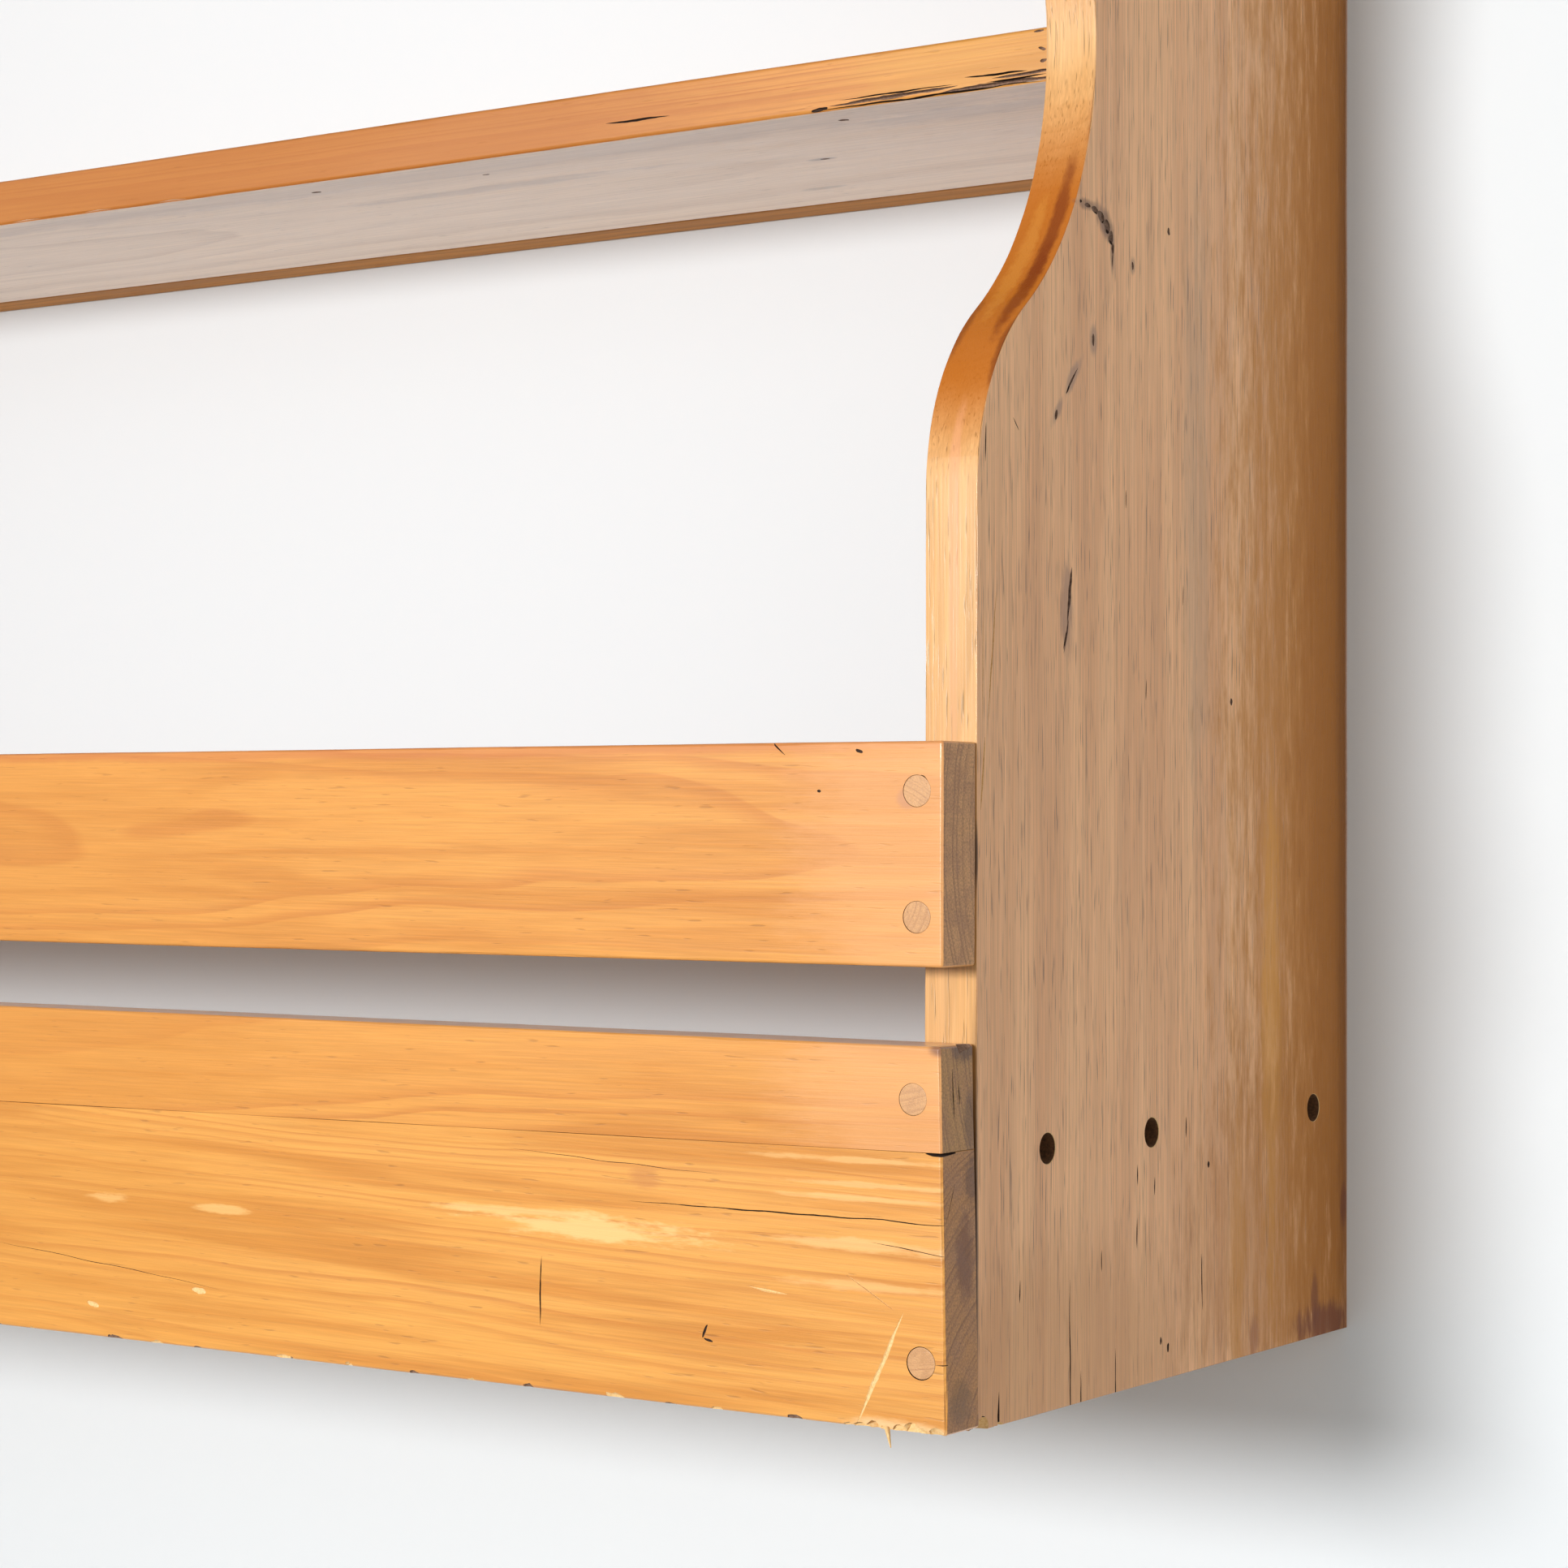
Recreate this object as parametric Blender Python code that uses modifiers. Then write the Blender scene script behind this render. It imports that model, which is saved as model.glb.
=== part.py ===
"""Open pine wall rack: two sawn sides, three shelves, pegged front rails and a hanging rail."""

import math

import bmesh
import bpy

# +X runs along the wall, +Y into it and +Z up. The origin is the middle of the hanging rail's wall face.
# Sizes are in metres. Depths run back from the front edge of the sides, heights run up from their foot.

# Sides, with an S-curved front edge: a lower lobe, a hollow waist and an upper lobe
WIDTH = 1.200
SIDE_THICKNESS = 0.018
SIDE_DEPTH = 0.260
SIDE_HEIGHT = 0.760
WAIST_HEIGHT = 0.428
WAIST_SETBACK = 0.0727
WAIST_RADIUS = 0.113
LOWER_CURVE_RISE = 0.148
UPPER_CURVE_RISE = 0.125
UPPER_LOBE_SETBACK = 0.030
TOP_CORNER_RADIUS = 0.060
SIDE_EASED_EDGE = 0.0015
ARC_STEP = math.radians(6)

# Shelves: heights are of the underside, and insets run back from the waist and from the upper lobe
SHELF_THICKNESS = 0.018
BOTTOM_SHELF_HEIGHT = 0.0717
MIDDLE_SHELF_HEIGHT = 0.4227
MIDDLE_SHELF_INSET = 0.0233
TOP_SHELF_DROP = 0.045
TOP_SHELF_INSET = 0.030
HOUSING_DEPTH = 0.006

# Hanging rail behind the middle shelf, level with the shelf's underside
HANG_RAIL_THICKNESS = 0.019
HANG_RAIL_WIDTH = 0.055
WALL_HOLE_DIAMETER = 0.007
WALL_HOLE_SPACING = 0.813
WALL_HOLE_ABOVE_SHELF = 0.019
HANG_SCREW_COUNT = 4
HANG_SCREW_INSET = 0.042
HANG_SCREW_SINK = 0.0005

# Front rails, laid on the front edges of the sides, from the lowest board up
RAIL_THICKNESS = 0.019
FRONT_BOARD_HEIGHT = 0.0017
FRONT_BOARD_WIDTH = 0.0815
FRONT_STRIP_WIDTH = 0.0315
RAIL_SLOT = 0.023
UPPER_RAIL_WIDTH = 0.0665
BOARD_EASED_EDGE = 0.0012

# Round pegs through the rails into the sides
PEG_DIAMETER = 0.0095
PEG_DEPTH_IN_SIDE = 0.025
PEG_CHAMFER = 0.001
PEG_SIDES = 24
UPPER_RAIL_PEG_INSET = 0.0147
FRONT_BOARD_PEG_INSET = 0.0205

# Wood screws, and the counterbores that sink them into the sides
SCREW_LENGTH = 0.045
SCREW_SHANK_DIAMETER = 0.0042
SCREW_HEAD_DIAMETER = 0.0084
SCREW_HEAD_HEIGHT = 0.0030
SCREW_HEAD_RIM = 0.0006
SCREW_TIP = 0.008
SCREW_SIDES = 20
COUNTERBORE_DIAMETER = 0.0097
COUNTERBORE_DEPTH = 0.008
FRONT_SCREW_DEPTH = 0.0427
MIDDLE_SCREW_DEPTH = 0.1107
BACK_SCREW_INSET = 0.0281

# Clearances: glued seats, the lower rail that has sprung off the sides, and how far a cutter overshoots
SEAT_GAP = 0.0003
LOWER_RAIL_GAP = 0.0008
OVERSHOOT = 0.010

# Places that follow from the sizes
INNER_FACE = WIDTH / 2 - SIDE_THICKNESS
FRONT_EDGE = -SIDE_DEPTH
HANG_HEIGHT = MIDDLE_SHELF_HEIGHT + HANG_RAIL_WIDTH / 2
MIDDLE_SHELF_SETBACK = WAIST_SETBACK + MIDDLE_SHELF_INSET
TOP_SHELF_SETBACK = UPPER_LOBE_SETBACK + TOP_SHELF_INSET
TOP_SHELF_HEIGHT = SIDE_HEIGHT - TOP_SHELF_DROP
FRONT_STRIP_HEIGHT = FRONT_BOARD_HEIGHT + FRONT_BOARD_WIDTH + SEAT_GAP
UPPER_RAIL_HEIGHT = FRONT_STRIP_HEIGHT + FRONT_STRIP_WIDTH + RAIL_SLOT
SHELF_SCREW_DEPTHS = {"front": FRONT_SCREW_DEPTH, "middle": MIDDLE_SCREW_DEPTH,
                      "back": SIDE_DEPTH - BACK_SCREW_INSET}


def clear_scene():
    """Remove every object, so that the script can run again in the same file."""
    for item in list(bpy.data.objects):
        bpy.data.objects.remove(item, do_unlink=True)


def new_collection(name):
    """A collection linked to the scene."""
    group = bpy.data.collections.new(name)
    bpy.context.scene.collection.children.link(group)
    return group


def new_material(name, colour, roughness, metallic):
    """A Principled surface; the colour is linear RGB."""
    finish = bpy.data.materials.new(name)
    finish.use_nodes = True
    shader = finish.node_tree.nodes["Principled BSDF"]
    shader.inputs["Base Color"].default_value = (*colour, 1.0)
    shader.inputs["Roughness"].default_value = roughness
    shader.inputs["Metallic"].default_value = metallic
    return finish


clear_scene()
PARTS = new_collection("wall_mounted_sideboard")
CUTTERS = new_collection("cutters")

SIDE_PINE = new_material("side_pine", (0.42, 0.21, 0.075), 0.35, 0.0)
RAIL_PINE = new_material("rail_pine", (0.55, 0.28, 0.10), 0.32, 0.0)
SHELF_PINE = new_material("shelf_pine", (0.50, 0.27, 0.11), 0.38, 0.0)
PEG_PINE = new_material("peg_pine", (0.47, 0.20, 0.06), 0.40, 0.0)
SCREW_STEEL = new_material("screw_steel", (0.18, 0.17, 0.16), 0.45, 1.0)

FOOT = bpy.data.objects.new("foot_level", None)
FOOT.location.z = -HANG_HEIGHT
PARTS.objects.link(FOOT)


def add_piece(name, mesh, finish):
    """Put a mesh in the scene at foot level: a part if it has a finish, and otherwise a cutter."""
    piece = bpy.data.objects.new(name, mesh)
    piece.parent = FOOT
    if finish:
        mesh.materials.append(finish)
        PARTS.objects.link(piece)
    else:
        piece.hide_render = True
        piece.display_type = "WIRE"
        CUTTERS.objects.link(piece)
    return piece


def box(name, low, high, finish=None):
    """A box between two corners."""
    shape = bmesh.new()
    bmesh.ops.create_cube(shape, size=1.0)
    bmesh.ops.scale(shape, vec=[end - start for start, end in zip(low, high)], verts=shape.verts)
    mesh = bpy.data.meshes.new(name)
    shape.to_mesh(mesh)
    shape.free()
    piece = add_piece(name, mesh, finish)
    piece.location = [(start + end) / 2 for start, end in zip(low, high)]
    return piece


def ease_edges(piece, width):
    """Round the sharp edges, as planing and wear leave them."""
    bevel = piece.modifiers.new("eased_edges", "BEVEL")
    bevel.width = width
    bevel.segments = 2
    bevel.limit_method = "ANGLE"
    bevel.angle_limit = math.radians(40)


def turned(name, profile, sides, finish=None):
    """Revolve (radius, height) points, listed from the top down, about the piece's own Z axis."""
    mesh = bpy.data.meshes.new(name)
    points = [(radius, 0.0, height) for radius, height in profile]
    edges = [(i, i + 1) for i in range(len(points) - 1)]
    mesh.from_pydata(points, edges, [])
    piece = add_piece(name, mesh, finish)
    lathe = piece.modifiers.new("turned", "SCREW")
    lathe.axis = "Z"
    lathe.steps = sides
    lathe.render_steps = sides
    lathe.use_merge_vertices = True
    lathe.merge_threshold = 0.00005
    lathe.use_smooth_shade = False
    return piece


def cut(piece, tool):
    """Take a cutter's shape out of a piece."""
    trim = piece.modifiers.new(tool.name, "BOOLEAN")
    trim.operation = "DIFFERENCE"
    trim.solver = "EXACT"
    trim.object = tool


def arc(centre, radius, start, end):
    """Points along an arc, from one angle to another."""
    steps = max(2, math.ceil(abs(end - start) / ARC_STEP))
    angles = [start + (end - start) * i / steps for i in range(steps + 1)]
    return [(centre[0] + radius * math.cos(a), centre[1] + radius * math.sin(a)) for a in angles]


def lobe(setback, rise):
    """Radius of the lobe that flows into the waist's arc without a kink, and the angle at which they meet."""
    inset = WAIST_SETBACK - setback
    run = WAIST_RADIUS - inset
    radius = (rise ** 2 + run ** 2 - WAIST_RADIUS ** 2) / (2 * inset)
    return radius, math.asin(rise / (radius + WAIST_RADIUS))


def side_outline():
    """Outline of a side as (depth, height) points: foot, back, top, then down the shaped front edge."""
    lower_radius, lower_angle = lobe(0.0, LOWER_CURVE_RISE)
    upper_radius, upper_angle = lobe(UPPER_LOBE_SETBACK, UPPER_CURVE_RISE)
    corner = (UPPER_LOBE_SETBACK + TOP_CORNER_RADIUS, SIDE_HEIGHT - TOP_CORNER_RADIUS)
    upper = (UPPER_LOBE_SETBACK + upper_radius, WAIST_HEIGHT + UPPER_CURVE_RISE)
    waist = (WAIST_SETBACK - WAIST_RADIUS, WAIST_HEIGHT)
    lower = (lower_radius, WAIST_HEIGHT - LOWER_CURVE_RISE)
    points = [(0.0, 0.0), (SIDE_DEPTH, 0.0), (SIDE_DEPTH, SIDE_HEIGHT)]
    points += arc(corner, TOP_CORNER_RADIUS, math.pi / 2, math.pi)
    points += arc(upper, upper_radius, math.pi, math.pi + upper_angle)
    points += arc(waist, WAIST_RADIUS, upper_angle, -lower_angle)[1:]
    points += arc(lower, lower_radius, math.pi - lower_angle, math.pi)[1:]
    return points


def sawn_side(name, hand):
    """A side sawn to the outline; hand is 1 on the right and -1 on the left."""
    outline = bpy.data.curves.new(name + "_outline", "CURVE")
    outline.dimensions = "2D"
    outline.fill_mode = "BOTH"
    outline.extrude = SIDE_THICKNESS / 2
    points = side_outline()
    spline = outline.splines.new("POLY")
    spline.points.add(len(points) - 1)
    for spot, (depth, height) in zip(spline.points, points):
        spot.co = (FRONT_EDGE + depth, height, 0.0, 1.0)
    spline.use_cyclic_u = True
    drawn = bpy.data.objects.new(name + "_outline", outline)
    PARTS.objects.link(drawn)
    mesh = bpy.data.meshes.new_from_object(drawn.evaluated_get(bpy.context.evaluated_depsgraph_get()))
    bpy.data.objects.remove(drawn, do_unlink=True)
    weld = bmesh.new()
    weld.from_mesh(mesh)
    bmesh.ops.remove_doubles(weld, verts=weld.verts, dist=0.00001)
    weld.to_mesh(mesh)
    weld.free()
    mesh.materials.clear()
    side = add_piece(name, mesh, SIDE_PINE)
    side.rotation_euler = (math.pi / 2, 0.0, math.pi / 2)
    side.location.x = hand * (INNER_FACE + SIDE_THICKNESS / 2)
    ease_edges(side, SIDE_EASED_EDGE)
    return side


def board(name, low, high, finish):
    """A planed board between two corners."""
    piece = box(name, low, high, finish)
    ease_edges(piece, BOARD_EASED_EDGE)
    return piece


def shelf(name, underside, depths, half_length):
    """A shelf between two depths, centred along the wall."""
    front, back = depths
    low = (-half_length, FRONT_EDGE + front, underside)
    high = (half_length, FRONT_EDGE + back, underside + SHELF_THICKNESS)
    return board(name, low, high, SHELF_PINE)


def front_rail(name, gap, bottom, width):
    """A rail across both sides, standing off their front edges by a gap."""
    low = (-WIDTH / 2, FRONT_EDGE - gap - RAIL_THICKNESS, bottom)
    high = (WIDTH / 2, FRONT_EDGE - gap, bottom + width)
    return board(name, low, high, RAIL_PINE)


def housing(name, hand, low, high):
    """Cutter for a stopped housing in a side's inner face, a seat gap wider than the piece that it takes."""
    ends = sorted((hand * (INNER_FACE - OVERSHOOT), hand * (INNER_FACE + HOUSING_DEPTH)))
    low = (ends[0], low[0] - SEAT_GAP, low[1] - SEAT_GAP)
    high = (ends[1], high[0] + SEAT_GAP, high[1] + SEAT_GAP)
    return box(name, low, high)


def fit_peg(name, hand, height, gap, rail, side):
    """A round peg driven through a rail's end into the middle of a side's front edge."""
    length = RAIL_THICKNESS + gap + PEG_DEPTH_IN_SIDE
    radius = PEG_DIAMETER / 2
    profile = [(0.0, 0.0), (radius, 0.0), (radius, PEG_CHAMFER - length), (radius - PEG_CHAMFER, -length),
               (0.0, -length)]
    bore_radius = radius + SEAT_GAP
    bore = [(0.0, OVERSHOOT), (bore_radius, OVERSHOOT), (bore_radius, -length - SEAT_GAP),
            (0.0, -length - SEAT_GAP)]
    peg = turned(name, profile, PEG_SIDES, PEG_PINE)
    tool = turned(name + "_bore", bore, PEG_SIDES)
    for piece in (peg, tool):
        piece.location = (hand * (INNER_FACE + SIDE_THICKNESS / 2), FRONT_EDGE - gap - RAIL_THICKNESS, height)
        piece.rotation_euler.x = math.pi / 2
    cut(rail, tool)
    cut(side, tool)


def fit_screw(name, place, turn, sink, bore_diameter, outer, inner):
    """A countersunk screw through the outer piece into the inner one, its head sunk below the surface."""
    shank = SCREW_SHANK_DIAMETER / 2
    head = SCREW_HEAD_DIAMETER / 2
    rim = -sink - SCREW_HEAD_RIM
    neck = -sink - SCREW_HEAD_HEIGHT
    tip = -sink - SCREW_LENGTH
    profile = [(0.0, -sink), (head, -sink), (head, rim), (shank, neck), (shank, tip + SCREW_TIP), (0.0, tip)]
    bore = [(0.0, OVERSHOOT), (bore_diameter / 2, OVERSHOOT), (bore_diameter / 2, -sink - SEAT_GAP),
            (head + SEAT_GAP, -sink - SEAT_GAP), (head + SEAT_GAP, rim - SEAT_GAP),
            (shank + SEAT_GAP, neck - SEAT_GAP), (shank + SEAT_GAP, tip - SEAT_GAP), (0.0, tip - SEAT_GAP)]
    screw = turned(name, profile, SCREW_SIDES, SCREW_STEEL)
    tool = turned(name + "_bore", bore, SCREW_SIDES)
    for piece in (screw, tool):
        piece.location = place
        piece.rotation_euler = turn
    cut(outer, tool)
    cut(inner, tool)


# Boards
shelf_back = SIDE_DEPTH - HANG_RAIL_THICKNESS - SEAT_GAP
housed_length = INNER_FACE + HOUSING_DEPTH - SEAT_GAP
bottom_shelf = shelf("bottom_shelf", BOTTOM_SHELF_HEIGHT, (0.0, SIDE_DEPTH), INNER_FACE - SEAT_GAP)
middle_shelf = shelf("middle_shelf", MIDDLE_SHELF_HEIGHT, (MIDDLE_SHELF_SETBACK, shelf_back), housed_length)
top_shelf = shelf("top_shelf", TOP_SHELF_HEIGHT, (TOP_SHELF_SETBACK, SIDE_DEPTH), housed_length)
hanging_rail = board("hanging_rail", (-housed_length, -HANG_RAIL_THICKNESS, MIDDLE_SHELF_HEIGHT),
                     (housed_length, 0.0, MIDDLE_SHELF_HEIGHT + HANG_RAIL_WIDTH), SHELF_PINE)
upper_front_rail = front_rail("upper_front_rail", SEAT_GAP, UPPER_RAIL_HEIGHT, UPPER_RAIL_WIDTH)
lower_front_board = front_rail("lower_front_board", LOWER_RAIL_GAP, FRONT_BOARD_HEIGHT, FRONT_BOARD_WIDTH)
lower_front_strip = front_rail("lower_front_strip", LOWER_RAIL_GAP, FRONT_STRIP_HEIGHT, FRONT_STRIP_WIDTH)

# Sides, with the housings that take the shelves and the hanging rail, their pegs and their screws
for hand, end in ((-1, "left"), (1, "right")):
    side = sawn_side(end + "_side", hand)
    cut(side, housing("middle_housing_" + end, hand, (FRONT_EDGE + MIDDLE_SHELF_SETBACK, MIDDLE_SHELF_HEIGHT),
                      (-HANG_RAIL_THICKNESS, MIDDLE_SHELF_HEIGHT + SHELF_THICKNESS)))
    cut(side, housing("hanging_housing_" + end, hand, (-HANG_RAIL_THICKNESS, MIDDLE_SHELF_HEIGHT),
                      (OVERSHOOT, MIDDLE_SHELF_HEIGHT + HANG_RAIL_WIDTH)))
    cut(side, housing("top_housing_" + end, hand, (FRONT_EDGE + TOP_SHELF_SETBACK, TOP_SHELF_HEIGHT),
                      (OVERSHOOT, TOP_SHELF_HEIGHT + SHELF_THICKNESS)))
    fit_peg("upper_rail_peg_low_" + end, hand, UPPER_RAIL_HEIGHT + UPPER_RAIL_PEG_INSET, SEAT_GAP,
            upper_front_rail, side)
    fit_peg("upper_rail_peg_high_" + end, hand, UPPER_RAIL_HEIGHT + UPPER_RAIL_WIDTH - UPPER_RAIL_PEG_INSET,
            SEAT_GAP, upper_front_rail, side)
    fit_peg("front_strip_peg_" + end, hand, FRONT_STRIP_HEIGHT + FRONT_STRIP_WIDTH / 2, LOWER_RAIL_GAP,
            lower_front_strip, side)
    fit_peg("front_board_peg_" + end, hand, FRONT_BOARD_HEIGHT + FRONT_BOARD_PEG_INSET, LOWER_RAIL_GAP,
            lower_front_board, side)
    for spot, depth in SHELF_SCREW_DEPTHS.items():
        place = (hand * WIDTH / 2, FRONT_EDGE + depth, BOTTOM_SHELF_HEIGHT + SHELF_THICKNESS / 2)
        fit_screw("bottom_shelf_screw_" + spot + "_" + end, place, (0.0, hand * math.pi / 2, 0.0),
                  COUNTERBORE_DEPTH, COUNTERBORE_DIAMETER, side, bottom_shelf)

# Screws through the hanging rail into the middle shelf's back edge
screw_span = INNER_FACE - HANG_SCREW_INSET
for i in range(HANG_SCREW_COUNT):
    along = screw_span * (2 * i / (HANG_SCREW_COUNT - 1) - 1)
    place = (along, 0.0, MIDDLE_SHELF_HEIGHT + SHELF_THICKNESS / 2)
    fit_screw("hanging_rail_screw_" + str(i + 1), place, (-math.pi / 2, 0.0, 0.0), HANG_SCREW_SINK,
              SCREW_HEAD_DIAMETER + 2 * SEAT_GAP, hanging_rail, middle_shelf)

# Holes for the wall screws, above the middle shelf
for hand, end in ((-1, "left"), (1, "right")):
    reach = HANG_RAIL_THICKNESS + OVERSHOOT
    hole = turned("wall_hole_" + end, [(0.0, OVERSHOOT), (WALL_HOLE_DIAMETER / 2, OVERSHOOT),
                                       (WALL_HOLE_DIAMETER / 2, -reach), (0.0, -reach)], SCREW_SIDES)
    hole.location = (hand * WALL_HOLE_SPACING / 2, 0.0,
                     MIDDLE_SHELF_HEIGHT + SHELF_THICKNESS + WALL_HOLE_ABOVE_SHELF)
    hole.rotation_euler.x = -math.pi / 2
    cut(hanging_rail, hole)
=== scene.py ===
# %% [markdown]
# # An old pine wall rack
# The rack hangs on a white wall: two sawn sides, three shelves, a hanging rail at the back and three
# front rails that are pegged on. The solids of the rack are loaded first and stay where they are.
# Every board is then built again over its solid, with the worn edges, dents and grain of old pine.

# %% Load the rack's solids
import math

import bmesh
import bpy
from mathutils import Euler, Matrix, Vector, noise


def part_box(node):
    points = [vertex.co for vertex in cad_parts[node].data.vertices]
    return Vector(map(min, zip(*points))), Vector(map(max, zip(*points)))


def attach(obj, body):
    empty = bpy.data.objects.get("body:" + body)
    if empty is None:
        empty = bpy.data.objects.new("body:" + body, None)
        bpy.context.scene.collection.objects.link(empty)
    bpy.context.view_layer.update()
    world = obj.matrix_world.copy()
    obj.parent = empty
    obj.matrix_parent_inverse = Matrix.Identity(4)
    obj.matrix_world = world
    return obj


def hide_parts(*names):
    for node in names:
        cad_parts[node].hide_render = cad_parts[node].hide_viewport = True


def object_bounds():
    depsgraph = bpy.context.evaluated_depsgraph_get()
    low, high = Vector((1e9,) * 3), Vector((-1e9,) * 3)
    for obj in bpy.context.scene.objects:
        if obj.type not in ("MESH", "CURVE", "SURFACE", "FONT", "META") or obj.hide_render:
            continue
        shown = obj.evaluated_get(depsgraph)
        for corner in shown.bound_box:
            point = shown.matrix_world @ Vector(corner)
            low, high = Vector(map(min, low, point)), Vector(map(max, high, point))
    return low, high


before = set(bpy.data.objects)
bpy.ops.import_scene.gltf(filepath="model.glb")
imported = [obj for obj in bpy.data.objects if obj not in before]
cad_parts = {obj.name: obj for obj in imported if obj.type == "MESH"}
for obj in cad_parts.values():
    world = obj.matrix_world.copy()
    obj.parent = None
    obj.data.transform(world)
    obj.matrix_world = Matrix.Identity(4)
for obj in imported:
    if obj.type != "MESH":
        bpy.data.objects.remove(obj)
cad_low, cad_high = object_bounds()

noise.seed_set(17)  # without a seed, noise_vector starts from the clock and each run differs
print("solids", len(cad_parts), "box", [round(v, 4) for v in (*cad_low, *cad_high)])

# %% [markdown]
# ## Camera
# The photograph is a close view of the rack's lower right corner, taken from the right and slightly from
# below. Eye, lens and turn were measured from the boards' edges and pegs, so nothing is fitted by eye.
# The frame is square, so the focal length in pixels gives the lens on a 36 mm sensor.

# %% Set the camera
IMAGE_SIDE = 1932
FOCAL_PIXELS = 4216.15
SENSOR = 36.0
EYE = Vector((1.1208, -1.1342, -0.2718))
TURN, TILT, ROLL = (math.radians(angle) for angle in (34.01, 0.76, 0.14))


def add_object(name, data):
    """Put a camera, a lamp or a mesh into the scene."""
    made = bpy.data.objects.new(name, data)
    bpy.context.scene.collection.objects.link(made)
    return made


look = Vector((-math.sin(TURN) * math.cos(TILT), math.cos(TURN) * math.cos(TILT), math.sin(TILT)))
level = Vector((math.cos(TURN), math.sin(TURN), 0.0))
upright = level.cross(look)
right = level * math.cos(ROLL) + upright * math.sin(ROLL)
up = right.cross(look)
lens = bpy.data.cameras.new("rack_camera")
lens.sensor_width = SENSOR
lens.lens = FOCAL_PIXELS / IMAGE_SIDE * SENSOR
camera = add_object("rack_camera", lens)
camera.matrix_world = Matrix.Translation(EYE) @ Matrix((right, up, -look)).transposed().to_4x4()
bpy.context.scene.camera = camera
print("lens", round(lens.lens, 2), "mm, looking", [round(v, 3) for v in look])

# %% [markdown]
# ## Colours and nodes
# Colours are written as they look on a screen, in hex, and one function turns them to the linear values
# that Blender works in. One more adds a node to a material, with its settings, and fills its sockets
# with numbers or with links from other nodes. Four short ones call it for what comes up most: sums, ranges,
# mixed colours and speckles.

# %% Colour and node helpers
MM = 0.001


def linear(shade):
    """Linear RGBA of a screen colour such as '#EDAA5D'."""
    parts = [int(shade[i:i + 2], 16) / 255 for i in (1, 3, 5)]
    return (*[p / 12.92 if p <= 0.04045 else ((p + 0.055) / 1.055) ** 2.4 for p in parts], 1.0)


def put(tree, kind, sockets, **settings):
    """Add a node: settings are its own, sockets take a value, a node or one of a node's outputs."""
    added = tree.nodes.new("ShaderNode" + kind)
    for name, value in settings.items():
        setattr(added, name, value)
    for place, value in sockets.items():
        if isinstance(value, bpy.types.Node):
            value = next(out for out in value.outputs if out.enabled)
        if isinstance(value, bpy.types.NodeSocket):
            tree.links.new(value, added.inputs[place])
        else:
            added.inputs[place].default_value = value
    return added


def calc(tree, operation, *values):
    """A math node over up to three values."""
    return put(tree, "Math", dict(enumerate(values)), operation=operation)


def remap(tree, value, low=0.0, high=1.0, to_low=0.0, to_high=1.0, soft=False):
    """Carry one range of values over to another, with soft ends if asked."""
    sockets = {"Value": value, "From Min": low, "From Max": high, "To Min": to_low, "To Max": to_high}
    return put(tree, "MapRange", sockets, interpolation_type="SMOOTHSTEP" if soft else "LINEAR")


def blend(tree, share, under, over, **settings):
    """Mix two colours by a share. A colour is a hex shade or a node."""
    under, over = (linear(c) if isinstance(c, str) else c for c in (under, over))
    return put(tree, "Mix", {0: share, 6: under, 7: over}, data_type="RGBA", **settings)


def speckle(tree, size, **look):
    """Noise in space, with spots of about a size."""
    where = put(tree, "TexCoord", {}).outputs["Object"]
    return put(tree, "TexNoise", {"Vector": where, "Scale": 1 / size, **look})


def blank_finish(name):
    """A new material with an empty node tree."""
    finish = bpy.data.materials.new(name)
    finish.use_nodes = True
    finish.node_tree.nodes.clear()
    return finish, finish.node_tree


print("linear of #EDAA5D", [round(v, 3) for v in linear("#EDAA5D")])

# %% [markdown]
# ## Wall and floor
# The rack hangs against painted plaster, and most of the light on its side and under its shelf comes back
# from that wall, so the wall is really there. It is a sheet that only shows from the room: from behind, a
# camera ray passes through it, so that the rack's back can be looked at. Light passes it only within two
# millimetres of the wood, so that the faces against the wall aren't black then. A pale floor lies well below,
# and camera rays from under it pass through it in the same way.

# %% Sheet tools
WALL_GAP = 0.4 * MM
WALL_HALF_WIDTH = 4.0
WALL_TOP = 2.6
OPEN_NEAR_WOOD = 2 * MM
FLOOR_DROP = 0.9
FLOOR_HALF_SIZE = 12.0
floor_height = cad_low.z - FLOOR_DROP


def mesh_object(name, shape, *finishes):
    """A mesh object from a modelled shape, which is used up."""
    mesh = bpy.data.meshes.new(name)
    shape.to_mesh(mesh)
    shape.free()
    for finish in finishes:
        mesh.materials.append(finish)
    return add_object(name, mesh)


def stage_sheet(name, half_sizes, place, finish):
    """A flat sheet that isn't part of the rack, turned and placed in its mesh."""
    sheet = bmesh.new()
    bmesh.ops.create_grid(sheet, x_segments=1, y_segments=1, size=1.0)
    bmesh.ops.scale(sheet, vec=(*half_sizes, 1.0), verts=sheet.verts)
    bmesh.ops.transform(sheet, matrix=place, verts=sheet.verts)
    made = mesh_object(name, sheet, finish)
    return made


def seen_from_behind(tree, ray):
    """Share of a sheet that a camera ray finds from its back."""
    behind = put(tree, "NewGeometry", {}).outputs["Backfacing"]
    return calc(tree, "MULTIPLY", ray.outputs["Is Camera Ray"], behind)


def seen_directly(tree, ray):
    """1 for rays from the eye, a reflection or a clear sheet, 0 for light that has bounced."""
    seen = calc(tree, "MAXIMUM", ray.outputs["Is Camera Ray"], ray.outputs["Is Glossy Ray"])
    return calc(tree, "MAXIMUM", seen, ray.outputs["Is Transmission Ray"])


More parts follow.
